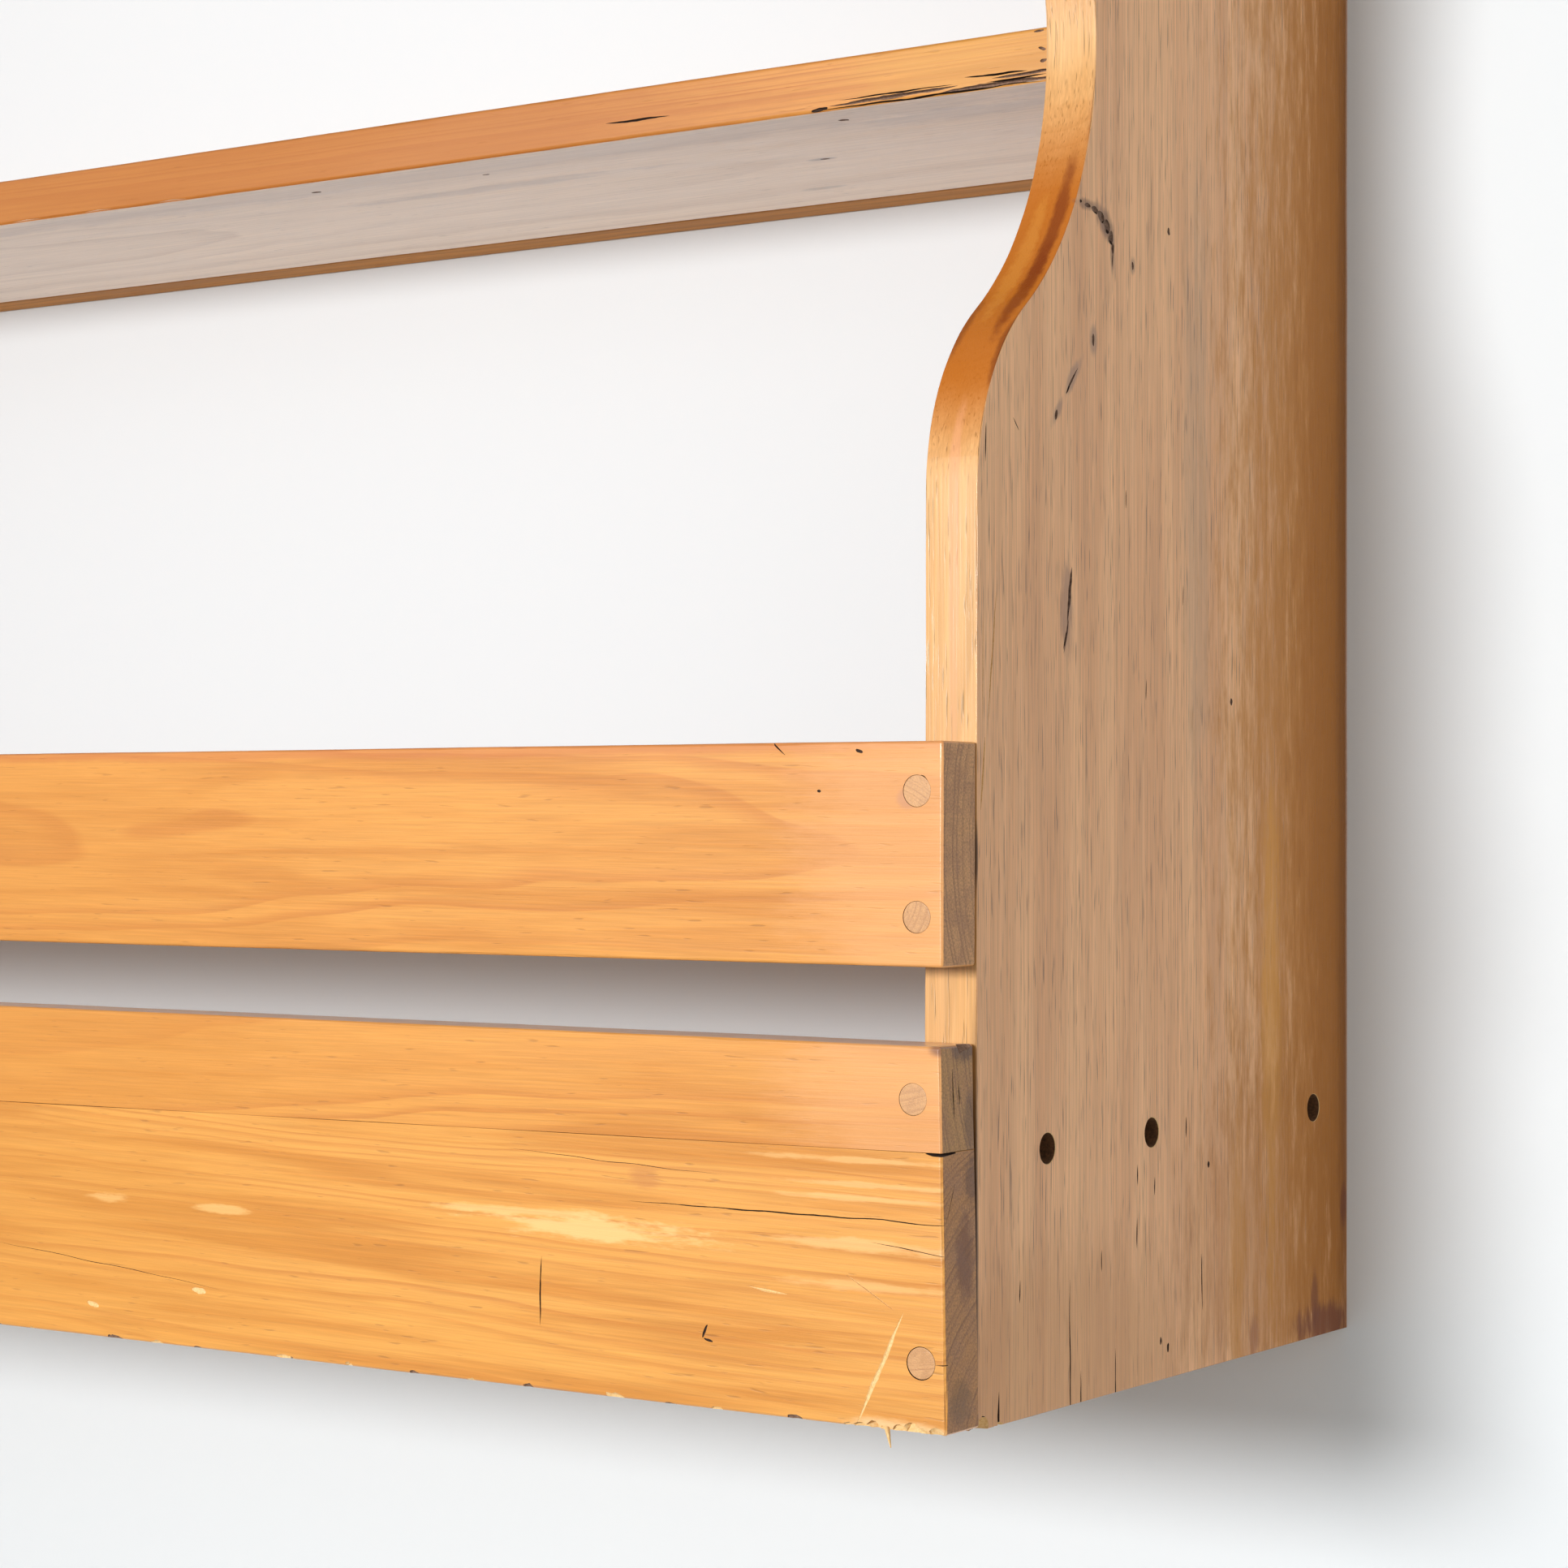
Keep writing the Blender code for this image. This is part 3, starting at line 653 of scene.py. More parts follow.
def set_ends(piece, axis):
    """Give the faces that close the grain the end finish."""
    for face in piece.data.polygons:
        face.material_index = 1 if abs(face.normal[axis]) > 0.9 else 0


def smooth(piece):
    """Smooth shading inside each face, led by the large flat faces, sharp where the surface turns or was cut."""
    piece.data.shade_smooth()
    piece.data.set_sharp_from_angle(angle=SMOOTH_BELOW)
    shape = bmesh.new()
    shape.from_mesh(piece.data)
    for edge in shape.edges:
        if len({face.material_index for face in edge.link_faces}) > 1:
            edge.smooth = False
    shape.to_mesh(piece.data)
    shape.free()
    leading = piece.modifiers.new("flat_faces_lead", "WEIGHTED_NORMAL")
    leading.keep_sharp = True
    triangles = sum(len(face.vertices) - 2 for face in piece.data.polygons)
    print(piece.name, triangles, "triangles")


print("edges over", round(math.degrees(SHARP)), "degrees are rounded")

# %% [markdown]
# ### One plank
# A plank takes its size from its solid's box, goes through those steps, and shows end grain where it was sawn off.

# %% Plank
CELL = 8 * MM
TIGHT_ROUND = 0.15 * MM
FLAT_SWELL, EDGE_BITE = 0.12 * MM, 0.6 * MM


def plank(node, finishes, seed, rounding, reshape=None, glued=None):
    """A worn plank over a solid, its grain along X.

    reshape shifts a point, and glued tells whether a point lies on a tight glued edge."""
    low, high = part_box(node)
    size = high - low
    shape = bmesh.new()
    bmesh.ops.create_cube(shape, size=1.0)
    bmesh.ops.scale(shape, vec=size, verts=shape.verts)
    bmesh.ops.translate(shape, vec=(low + high) / 2, verts=shape.verts)
    for axis in range(3):
        run = [e for e in shape.edges if abs((e.verts[0].co - e.verts[1].co)[axis]) > CELL]
        cuts = int(size[axis] / CELL) - 1
        if cuts > 0:
            bmesh.ops.subdivide_edges(shape, edges=run, cuts=cuts, use_grid_fill=True)
    if glued:
        tight = [e for e in sharp_edges(shape) if all(glued(v.co) for v in e.verts)]
        round_edges(shape, tight, TIGHT_ROUND)
    round_edges(shape, sharp_edges(shape), rounding)
    wear(shape, 1, seed, FLAT_SWELL, EDGE_BITE, glued)
    if reshape:
        for v in shape.verts:
            reshape(v.co)
    piece = add_piece(node + "_wood", shape, finishes, node)
    set_ends(piece, 0)
    return piece


print("plank tools ready, cells of", round(CELL / MM), "mm")

# %% [markdown]
# ## Front rails, shelves and hanging rail
# The seam between the two lower boards isn't level, and their right ends were sawn a little out of square, so
# those points are shifted after the edges are rounded. The boards were glued: the seam closes to a thin line.

# %% Build the planks
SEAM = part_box("lower_front_board")[1].z
RIGHT_END = cad_high.x
RAIL_ROUND, SHELF_ROUND = 1.0 * MM, 1.4 * MM
GLUE_GAP_CLOSED = 0.22 * MM
SEAM_REACH, END_REACH = 3 * MM, 4 * MM
SEAM_DROP, SEAM_RISE, SEAM_RISE_START, SEAM_RISE_RUN = 2.2 * MM, 2.8 * MM, 0.208, 0.392
END_BACK, END_LEAN, END_TOP, END_HEIGHT = 0.5 * MM, 2.4 * MM, -0.335, 0.115


def lower_boards(co):
    """Close and tilt the seam of the two lower boards, and tilt their right ends."""
    if abs(co.z - SEAM) < SEAM_REACH:
        co.z -= GLUE_GAP_CLOSED if co.z > SEAM + 0.1 * MM else 0.0
        co.z += -SEAM_DROP + min(max((co.x - SEAM_RISE_START) / SEAM_RISE_RUN, 0.0), 1.0) * SEAM_RISE
    if co.x > RIGHT_END - END_REACH:
        co.x += -END_BACK + (END_TOP - co.z) / END_HEIGHT * END_LEAN


def on_seam(co):
    """True close to the seam between the two lower boards."""
    return abs(co.z - SEAM) < 1.5 * MM


upper_rail = plank("upper_front_rail", upper_rail_pine, 11, RAIL_ROUND)
strip = plank("lower_front_strip", strip_pine, 23, RAIL_ROUND, lower_boards, on_seam)
front_board = plank("lower_front_board", front_board_pine, 37, RAIL_ROUND, lower_boards, on_seam)
middle_shelf = plank("middle_shelf", (*shelf_pine, under_pine_painted_reflection), 41, SHELF_ROUND)
for face in middle_shelf.data.polygons:
    if face.normal.z < -0.9:
        face.material_index = 2
bottom_shelf = plank("bottom_shelf", shelf_pine, 43, SHELF_ROUND)
top_shelf = plank("top_shelf", shelf_pine, 47, SHELF_ROUND)
hanging_rail = plank("hanging_rail", bare_pine, 53, SHELF_ROUND)
print("planks done, seam at", round(SEAM, 4))

# %% [markdown]
# ## Sawn sides
# Each side is one wide board, sawn to an S along its front edge. Its outline is drawn by a point: pulled up the
# straight part, swung round the lobe, the waist and the upper lobe by spin, and led back down the wall edge. The
# closed line becomes a face, which is cut into cells, pulled out to the board's thickness, rounded and worn.
# Where the front edge leans, the points remember by how much the saw crossed the fibres.

# %% Outline tools
SIDE_DEPTH, SIDE_HEIGHT, SIDE_THICKNESS = 0.260, 0.760, 0.018
WAIST_HEIGHT, WAIST_SETBACK, WAIST_RADIUS = 0.428, 0.0727, 0.113
LOWER_CURVE_RISE, UPPER_CURVE_RISE, UPPER_LOBE_SETBACK = 0.148, 0.125, 0.030
TOP_CORNER_RADIUS = 0.060
FRONT_EDGE, FOOT = -SIDE_DEPTH, cad_low.z
SWING = math.radians(2.5)


def lobe(setback, rise):
    """Radius of a lobe that flows into the waist, and the angle where they meet."""
    inset = WAIST_SETBACK - setback
    radius = (rise ** 2 + (WAIST_RADIUS - inset) ** 2 - WAIST_RADIUS ** 2) / (2 * inset)
    return radius, math.asin(rise / (radius + WAIST_RADIUS))


def pull(shape, point, depth, height):
    """Extrude a point to a depth behind the front edge and a height above the foot."""
    end = bmesh.ops.extrude_vert_indiv(shape, verts=[point])["verts"][0]
    end.co.y, end.co.z = FRONT_EDGE + depth, FOOT + height
    return end


def swing(shape, point, depth, height, angle):
    """Spin a point round a centre that is given by depth and height."""
    centre = (point.co.x, FRONT_EDGE + depth, FOOT + height)
    steps = max(2, round(abs(angle) / SWING))
    turned = bmesh.ops.spin(shape, geom=[point], cent=centre, axis=(1, 0, 0), angle=angle, steps=steps)
    return next(g for g in turned["geom_last"] if isinstance(g, bmesh.types.BMVert))


def slice_up(shape, axis, start, end, count):
    """Cut a shape into equal slices along an axis."""
    for i in range(1, count):
        spot = [0.0, 0.0, 0.0]
        spot[axis] = start + (end - start) * i / count
        facing = [1.0 if a == axis else 0.0 for a in range(3)]
        bmesh.ops.bisect_plane(shape, geom=shape.verts[:] + shape.edges[:] + shape.faces[:], dist=0.1 * MM,
                               plane_co=spot, plane_no=facing)


def remember_crossing(shape):
    """Store on each point of the front edge how far the saw crossed the fibres, 0 to 1."""
    crossing = shape.verts.layers.float.new("cross_cut")
    shape.normal_update()
    for v in shape.verts:
        share = min(1.0, abs(v.normal.z) / 0.5) * min(1.0, (1 - abs(v.normal.x)) * 3)
        v[crossing] = share * share * (3 - 2 * share)


print("lower lobe's radius", round(lobe(0.0, LOWER_CURVE_RISE)[0], 4))

# %% [markdown]
# ### Both sides
# The moves of the point are written down as a list, from the foot of the front edge round to the foot at the wall.

# %% Saw the sides
SLICES_UP, SLICES_DEEP = 76, 22
SIDE_ROUND, SIDE_SWELL = 1.5 * MM, 0.15 * MM


def sawn_side(node, finishes, seed):
    """A side with its S-curved front edge, built over its solid."""
    low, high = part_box(node)
    lower_radius, lower_angle = lobe(0.0, LOWER_CURVE_RISE)
    upper_radius, upper_angle = lobe(UPPER_LOBE_SETBACK, UPPER_CURVE_RISE)
    lobe_below, lobe_above = WAIST_HEIGHT - LOWER_CURVE_RISE, WAIST_HEIGHT + UPPER_CURVE_RISE
    corner = SIDE_HEIGHT - TOP_CORNER_RADIUS
    shape = bmesh.new()
    point = first = shape.verts.new((low.x, FRONT_EDGE, FOOT))
    for move, *values in (
            (pull, 0.0, lobe_below), (swing, lower_radius, lobe_below, -lower_angle),
            (swing, WAIST_SETBACK - WAIST_RADIUS, WAIST_HEIGHT, lower_angle + upper_angle),
            (swing, UPPER_LOBE_SETBACK + upper_radius, lobe_above, -upper_angle), (pull, UPPER_LOBE_SETBACK, corner),
            (swing, UPPER_LOBE_SETBACK + TOP_CORNER_RADIUS, corner, -math.pi / 2),
            (pull, SIDE_DEPTH, SIDE_HEIGHT), (pull, SIDE_DEPTH, 0.0)):
        point = move(shape, point, *values)
    bmesh.ops.contextual_create(shape, geom=[point, first])
    bmesh.ops.remove_doubles(shape, verts=shape.verts, dist=0.01 * MM)
    bmesh.ops.contextual_create(shape, geom=shape.edges[:])
    slice_up(shape, 2, FOOT, FOOT + SIDE_HEIGHT, SLICES_UP)
    slice_up(shape, 1, FRONT_EDGE, 0.0, SLICES_DEEP)
    drawn = bmesh.ops.extrude_face_region(shape, geom=shape.faces[:])
    moved = [g for g in drawn["geom"] if isinstance(g, bmesh.types.BMVert)]
    bmesh.ops.translate(shape, vec=(high.x - low.x, 0, 0), verts=moved)
    bmesh.ops.recalc_face_normals(shape, faces=shape.faces)
    round_edges(shape, sharp_edges(shape), SIDE_ROUND)
    remember_crossing(shape)
    wear(shape, 0, seed, SIDE_SWELL, EDGE_BITE)
    piece = add_piece(node + "_wood", shape, finishes, node)
    set_ends(piece, 2)
    return piece


right_side = sawn_side("right_side", right_side_pine, 61)
left_side = sawn_side("left_side", left_side_pine, 67)
print("sides", len(right_side.data.polygons), len(left_side.data.polygons), "faces")

# %% [markdown]
# ## Cutting tools
# Holes, housings, dents and splits are cut out of the boards with Boolean modifiers, which are applied at
# once. The cutter carries the finish that its cut leaves. After a cut the volume and the edges are measured, so
# that a cut which would break a piece is seen and left out.

# %% Carving
LEAST_LEFT = 0.95


def cutter(shape, finish):
    """A cutter object from a modelled shape; the faces that it leaves take its finish."""
    bmesh.ops.triangulate(shape, faces=shape.faces)
    return mesh_object("cutter", shape, finish)


def measure(mesh):
    """Volume of a mesh in cubic millimetres, and the number of edges that don't close."""
    shape = bmesh.new()
    shape.from_mesh(mesh)
    volume = shape.calc_volume() / MM ** 3
    gaps = sum(1 for edge in shape.edges if len(edge.link_faces) != 2)
    shape.free()
    return round(volume), gaps


def carve(piece, *cutters):
    """Cut the cutters out of a piece for good. A cut that would break the piece is left out."""
    for tool in cutters:
        trim = piece.modifiers.new("carve", "BOOLEAN")
        trim.operation = "DIFFERENCE"
        trim.solver = "EXACT"
        trim.material_mode = "TRANSFER"
        trim.object = tool
    whole = piece.data
    worked = piece.evaluated_get(bpy.context.evaluated_depsgraph_get())
    cut = bpy.data.meshes.new_from_object(worked)
    piece.modifiers.clear()
    shape = bmesh.new()
    shape.from_mesh(cut)
    bmesh.ops.triangulate(shape, faces=shape.faces)
    shape.to_mesh(cut)
    shape.free()
    (volume, _), (left, gaps) = measure(whole), measure(cut)
    sound = gaps == 0 and LEAST_LEFT * volume < left <= volume
    print("carved" if sound else "NOT CARVED", piece.name, "from", volume, "to", left, "mm3, open edges", gaps)
    piece.data, spare = (cut, whole) if sound else (whole, cut)
    bpy.data.meshes.remove(spare)
    piece.data.name = piece.name
    for tool in cutters:
        bpy.data.objects.remove(tool)


print("a cut has to leave", LEAST_LEFT, "of a piece")

# %% [markdown]
# ### Shapes of the cutters
# A drill is a cone with one radius or two, a housing is a box, a dent is a ball with a rough skin, and a split is a
# thin wedge that wanders along its line and closes at its ends.

# %% Cutter shapes
DENT_SCALE, DENT_ROUGH = 700, 0.3
SPLIT_CELL = 2.5 * MM


def drill(shape, start, end, radius, end_radius=None):
    """Add a round cutter between two points."""
    start, end = Vector(start), Vector(end)
    turn = (end - start).to_track_quat("Z", "Y").to_matrix().to_4x4()
    bmesh.ops.create_cone(shape, cap_ends=True, segments=36, radius1=radius,
                          radius2=radius if end_radius is None else end_radius, depth=(end - start).length,
                          matrix=Matrix.Translation((start + end) / 2) @ turn)


def block(shape, low, high):
    """Add a box cutter between two corners."""
    low, high = Vector(low), Vector(high)
    bmesh.ops.create_cube(shape, size=1.0, matrix=Matrix.LocRotScale((low + high) / 2, None, high - low))


def dent(shape, centre, size, seed, turn=(0, 0, 0)):
    """Add a ball with a rough skin; centre and size are in millimetres."""
    place = Matrix.LocRotScale(Vector(centre) * MM, Euler(turn), Vector(size) * MM)
    skin = bmesh.ops.create_icosphere(shape, subdivisions=2, radius=0.5, matrix=place)["verts"]
    for v in skin:
        v.co += noise.noise_vector(v.co * DENT_SCALE + Vector((seed, 0, 0))) * min(size) * DENT_ROUGH * MM


def split(shape, start, end, out, width, depth, wander, seed):
    """Add a wedge along a wandering line on the face that looks out. Sizes are in millimetres."""
    start, end, out = Vector(start) * MM, Vector(end) * MM, Vector(out)
    run = end - start
    across = out.cross(run).normalized()
    first, first_edge = len(shape.verts), len(shape.edges)
    bmesh.ops.create_cube(shape, size=1.0)
    shape.edges.ensure_lookup_table()
    along = [e for e in shape.edges[first_edge:] if abs((e.verts[0].co - e.verts[1].co).x) > 0.5]
    bmesh.ops.subdivide_edges(shape, edges=along, cuts=max(5, int(run.length / SPLIT_CELL)), use_grid_fill=True)
    shape.verts.ensure_lookup_table()
    for v in shape.verts[first:]:
        t = v.co.x + 0.5
        taper = 0.06 + 0.94 * math.sin(math.pi * t) ** 0.6
        rough = 1 + 0.5 * noise.noise(Vector((t * run.length * 300, seed, v.co.y * 3)))
        sway = noise.noise(Vector((t * run.length * 60, 0, seed))) * wander * MM
        half = width / 2 * taper * rough * (1.0 if v.co.z > 0 else 0.25) * MM
        rise = 1.0 * MM if v.co.z > 0 else -depth * taper * MM
        v.co = start + run * t + across * (v.co.y * 2 * half + sway) + out * rise


print("cutters ready")

# %% [markdown]
# ## Joints
# The rails are pegged to the sides through bored holes. The shelves sit in housings in the sides, apart from the
# bottom shelf, which is screwed through the sides: those screws lie deep in bored holes, with a pale chipped
# rim. The two lowest pegs at the right wandered off the middle of the side by a millimetre or two.

# %% Bore and house the sides
PEG_NODES = [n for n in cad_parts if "_peg_" in n]
SCREW_NODES = [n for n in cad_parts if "_screw_" in n]
SEAT = 0.3 * MM
OVER = 10 * MM
COUNTERBORE_RADIUS, COUNTERBORE_DEPTH = 4.85 * MM, 8 * MM
RIM_OUT, RIM_IN, RIM_WIDE, RIM_NARROW = 0.6 * MM, 0.5 * MM, 0.75 * MM, 0.35 * MM
HOUSING_DEPTH = 6 * MM
TIGHT_HOLE, WORN_HOLE = 0.06 * MM, 0.2 * MM
PEG_DRIFT = {"front_board_peg_right": 2.1 * MM, "front_strip_peg_right": -0.9 * MM}


def solid_place(node):
    """Box and middle of a solid. A peg sits where its hole was really bored."""
    low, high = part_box(node)
    drift = Vector((PEG_DRIFT.get(node, 0.0), 0, 0))
    return low + drift, high + drift, (low + high) / 2 + drift


for hand, side, end in ((1, right_side, "right"), (-1, left_side, "left")):
    outer, inner = hand * cad_high.x, hand * (cad_high.x - SIDE_THICKNESS)
    homes = []
    for nodes in (("middle_shelf", "top_shelf"), ("hanging_rail",)):
        housing = bmesh.new()
        for node in nodes:
            low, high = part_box(node)
            back = OVER if high.y > -SEAT else SEAT
            ends = sorted((inner - hand * OVER, inner + hand * HOUSING_DEPTH))
            block(housing, (ends[0], low.y - SEAT, low.z - SEAT), (ends[1], high.y + back, high.z + SEAT))
        homes.append(cutter(housing, bored))
    peg_bores, screw_bores, rims = bmesh.new(), bmesh.new(), bmesh.new()
    for node in PEG_NODES:
        low, high, mid = solid_place(node)
        if node.endswith(end):
            radius = (high.x - low.x) / 2 + SEAT
            drill(peg_bores, (mid.x, low.y - OVER, mid.z), (mid.x, high.y + SEAT, mid.z), radius)
    for node in SCREW_NODES:
        low, high, mid = solid_place(node)
        if node.endswith(end):
            floor_of_bore = outer - hand * COUNTERBORE_DEPTH
            drill(screw_bores, (outer + hand * OVER, mid.y, mid.z), (floor_of_bore, mid.y, mid.z),
                  COUNTERBORE_RADIUS)
            drill(rims, (outer + hand * RIM_OUT, mid.y, mid.z), (outer - hand * RIM_IN, mid.y, mid.z),
                  COUNTERBORE_RADIUS + RIM_WIDE, COUNTERBORE_RADIUS - RIM_NARROW)
    carve(side, *homes)
    carve(side, cutter(peg_bores, bored))
    carve(side, cutter(rims, raw_pine))
    carve(side, cutter(screw_bores, bored))
    print(side.name, len(side.data.polygons), "faces after joints")

# %% [markdown]
# ### Peg holes in the rails
# The holes of the rails fit the pegs closely. Only the wide board's are worn, with dark dirt round the peg.

# %% Bore the rails
for rail, node in ((upper_rail, "upper_front_rail"), (strip, "lower_front_strip"),
                   (front_board, "lower_front_board")):
    low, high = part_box(node)
    holes = bmesh.new()
    for peg_node in PEG_NODES:
        peg_low, peg_high, mid = solid_place(peg_node)
        if low.z < mid.z < high.z:
            loose = WORN_HOLE if "board" in peg_node else TIGHT_HOLE
            radius = (peg_high.x - peg_low.x) / 2 + loose
            drill(holes, (mid.x, peg_low.y - OVER, mid.z), (mid.x, high.y + OVER, mid.z), radius)
    carve(rail, cutter(holes, old_dirt if rail is front_board else bruised))

# %% [markdown]
# ## Marks of use
# The rack was used hard. Old gouges and splits have filled with dirt, fresh chips and scratches show cream
# wood. Every mark was found in the photograph and is cut at its place. A mark lies on a face of the rack, so two
# coordinates in millimetres give a point: a split runs from one point to another and has a width, a depth and
# a wander, and a dent has its middle, its size and, if it lies askew, its turn.

# %% Marking tools
# A face has the axis that it crosses, its place on that axis and the way it looks
FACES = {"side": (0, 600, (1, 0, 0)), "upper_rail": (1, -279.3, (0, -1, 0)), "lower_rail": (1, -279.8, (0, -1, 0)),
         "shelf_edge": (1, -164, (0, -1, 0)), "shelf_under": (2, -27.5, (0, 0, -1))}


def on_face(face, *point):
    """A point in space from its two coordinates on a face."""
    axis, level, _ = FACES[face]
    return (*point[:axis], level, *point[axis:])


def mark(piece, finish, face, splits=(), dents=()):
    """Cut splits and dents into a face of a piece; all leave one finish. Neighbouring dents are cut in turn."""
    tools = [bmesh.new() for _ in range(3)]
    for i, (a, b, end_a, end_b, width, depth, wander) in enumerate(splits):
        start, end = on_face(face, a, b), on_face(face, end_a, end_b)
        split(tools[0], start, end, FACES[face][2], width, depth, wander, 3.7 * i + 1)
    for i, (a, b, size, *turn) in enumerate(dents):
        dent(tools[1 + i % 2], on_face(face, a, b), size, 2.3 * i + 5, *turn)
    for shape in tools:
        if shape.faces:
            carve(piece, cutter(shape, finish))


print("faces to mark", list(FACES))

# %% [markdown]
# ### Marks on the right side
# Below the curve lies an arc, where something round bruised the wood, with dark pits along it. A long gouge lies
# lower down, short splits follow the grain all over, and more of them open at the foot. The front corner is
# scraped cream in two places and chipped at the foot.

# %% Mark the right side
mark(right_side, bruised, "side", [
    (-202.6, -190, -204.4, -204, 2.6, 1.4, 0.9), (-204.6, -206, -207.8, -217, 1.5, 1.0, 0.7),
    (-199, -127.4, -206.5, -136.4, 1.6, 0.6, 0.7), (-239, -147, -235.4, -150.6, 0.7, 0.6, 0.3)], [
    (-192.8, -75.6, (1.1, 4.4, 1.5)), (-188.2, -76.4, (1.3, 4.6, 2.2), (-0.2, 0, 0)),
    (-184.0, -78.0, (1.6, 5.0, 3.2), (-0.5, 0, 0)), (-180.4, -80.4, (1.8, 4.8, 4.2), (-0.7, 0, 0)),
    (-177.7, -83.6, (1.6, 3.2, 4.6), (-0.4, 0, 0)), (-176.4, -87.0, (1.3, 1.8, 3.8)),
    (-189, -117.5, (1.4, 1.7, 4)), (-212.6, -143.6, (1.3, 1.6, 3.4), (-0.3, 0, 0)),
    (-162.9, -90.5, (1.3, 1.4, 2.8)), (-138.2, -75.9, (1.4, 1.8, 3)), (-92.6, -228.5, (1.2, 1.6, 2.6))])
mark(right_side, old_dirt, "side", [
    (-203, -193, -205.4, -208, 1.2, 3.0, 1.2), (-206.2, -210, -208, -216, 0.7, 1.2, 0.4),
    (-176.2, -87, -176.8, -93, 0.8, 1.4, 0.3), (-203.4, -132.4, -206.4, -136.6, 0.9, 1.4, 0.3),
    (-255, -150, -255.2, -162, 0.8, 1.2, 0.3), (-167.2, -163, -167.2, -169, 0.8, 1.0, 0.2),
    (-153.3, -223, -153.5, -230, 0.9, 1.0, 0.3), (-127.6, -191, -127.8, -198, 0.7, 0.9, 0.3),
    (-125, -366, -125.3, -373, 1.0, 1.4, 0.3), (-158.9, -379, -158.8, -386, 0.8, 1.2, 0.3),
    (-147.2, -384, -147.3, -390, 0.8, 1.2, 0.3), (-159, -396, -159.2, -406, 0.9, 1.4, 0.4),
    (-182.7, -404, -182.8, -411, 0.8, 1.2, 0.3), (-234, -408, -234.3, -415, 0.8, 1.2, 0.3),
    (-114.3, -412, -113.7, -431, 0.9, 1.6, 0.5), (-203.4, -411, -203, -463, 0.9, 2.4, 0.7),
    (-196.2, -440, -196.4, -462, 0.9, 2.2, 0.4), (-173.6, -436, -173.4, -463, 0.9, 2.2, 0.4),
    (-246.4, -440, -246.6, -462, 1.4, 3.0, 0.5)], [
    (-197.2, -75.1, (0.9, 1.3, 1.0)), (-187.0, -77.2, (1.6, 1.2, 0.9)),
    (-182.2, -79.4, (2.0, 1.4, 1.1)), (-179.2, -81.8, (2.1, 1.2, 1.7)),
    (-177.2, -85.0, (1.9, 0.9, 2.2)), (-255.4, -447.6, (4, 2.4, 3.4), (0.3, 0, 0)),
    (-109, -383, (1.4, 1.6, 2.4)), (-138, -440.5, (1.4, 1.4, 3)), (-143, -437.5, (1.2, 1.2, 2.6))])
mark(right_side, raw_pine, "side", [
    (-248.7, -200, -253.6, -240, 1.2, 0.8, 0.5), (-255.4, -244, -257.8, -266, 1.6, 0.9, 0.3),
    (-256.4, -206, -256.8, -240, 0.6, 0.7, 0.3)], [
    (-257, -450, (9, 9, 7), (0.4, 0, 0.3)), (-246, -452, (7, 7, 5), (0.1, 0.2, 0))])
print("right side", len(right_side.data.polygons), "faces after its marks")

# %% [markdown]
# ### Marks on the front rails
# The rails have small dents at the top and cracks along the grain. A long scratch crosses the wide board's
# right end, and its lower edge is nicked all along, with brown old nicks and cream fresh ones in turn. The strip's
# upper corner at the end is bruised, and the glue line has opened at the end.

# %% Mark the front rails
mark(upper_rail, old_dirt, "upper_rail", [
    (538.5, -244.6, 544.5, -249.4, 0.8, 0.9, 0.4)], [
    (571, -248.4, (2.6, 1.2, 1.0), (0, 0.4, 0)), (556.6, -260.4, (1.4, 1.0, 0.9)),
    (593.6, -256.6, (3.2, 1.6, 0.9), (0, 0.7, 0))])
mark(strip, old_dirt, "side", [(-273, -341, -272.4, -357, 0.9, 1.4, 0.6), (-270, -346, -269.4, -353, 0.8, 1.2, 0.5)])
mark(strip, bruised, "side", dents=[(-264, -334.5, (7, 13, 4.5), (0.3, 0.3, 0))])

mark(front_board, old_dirt, "lower_rail", [
    (486, -387.0, 612, -387.2, 0.55, 2.0, 0.6), (439, -373.5, 522, -377.2, 0.35, 0.6, 0.5),
    (206, -418.8, 316, -428.2, 0.4, 0.5, 0.8), (452.3, -406.5, 451.8, -428.5, 1.0, 1.0, 0.6),
    (594.5, -366.6, 614, -366.2, 2.2, 9.0, 0.3), (575.7, -393.8, 606, -396.9, 0.4, 0.8, 0.5),
    (597.8, -428.1, 612, -427.2, 0.6, 2.0, 0.6)], [
    (515.6, -425, (0.9, 1.2, 4.6), (0, 0.4, 0)), (517, -427.6, (3.6, 1.2, 0.8), (0, 0.2, 0))])
mark(front_board, raw_pine, "lower_rail", [
    (587.2, -413.5, 570.4, -449, 3.5, 0.3, 0.6), (566.3, -403.9, 584, -413.6, 0.9, 0.5, 0.8),
    (532, -410.2, 546, -411.4, 2.0, 0.6, 0.6)], [
    (305, -428.9, (7, 1.4, 2.2), (0, 0.1, 0)), (255, -437.5, (6, 1.2, 2), (0, 0.2, 0)),
    *[(568 + 4.4 * i, -448.9 + 0.3 * (i % 3), (5.2 + i % 2, 4 + i % 3, 2.4 + 0.7 * (i % 3)), (0.3 * i, 0.1 * i, 0))
      for i in range(8)]])
for finish, first in ((bruised, 0), (raw_pine, 1)):
    nicks = []
    for i in range(first, 15, 2):
        drift = noise.noise(Vector((i + 0.4, 0.3, 0.6)))
        nicks.append((212 + 24 * i + 26 * drift, -448.8 + 0.2 * (i % 3),
                      (6 + 8 * drift, 3, 1.8 + 0.4 * (i % 4)), (0, 0.06 * (i % 3), 0)))
    mark(front_board, finish, "lower_rail", dents=nicks)

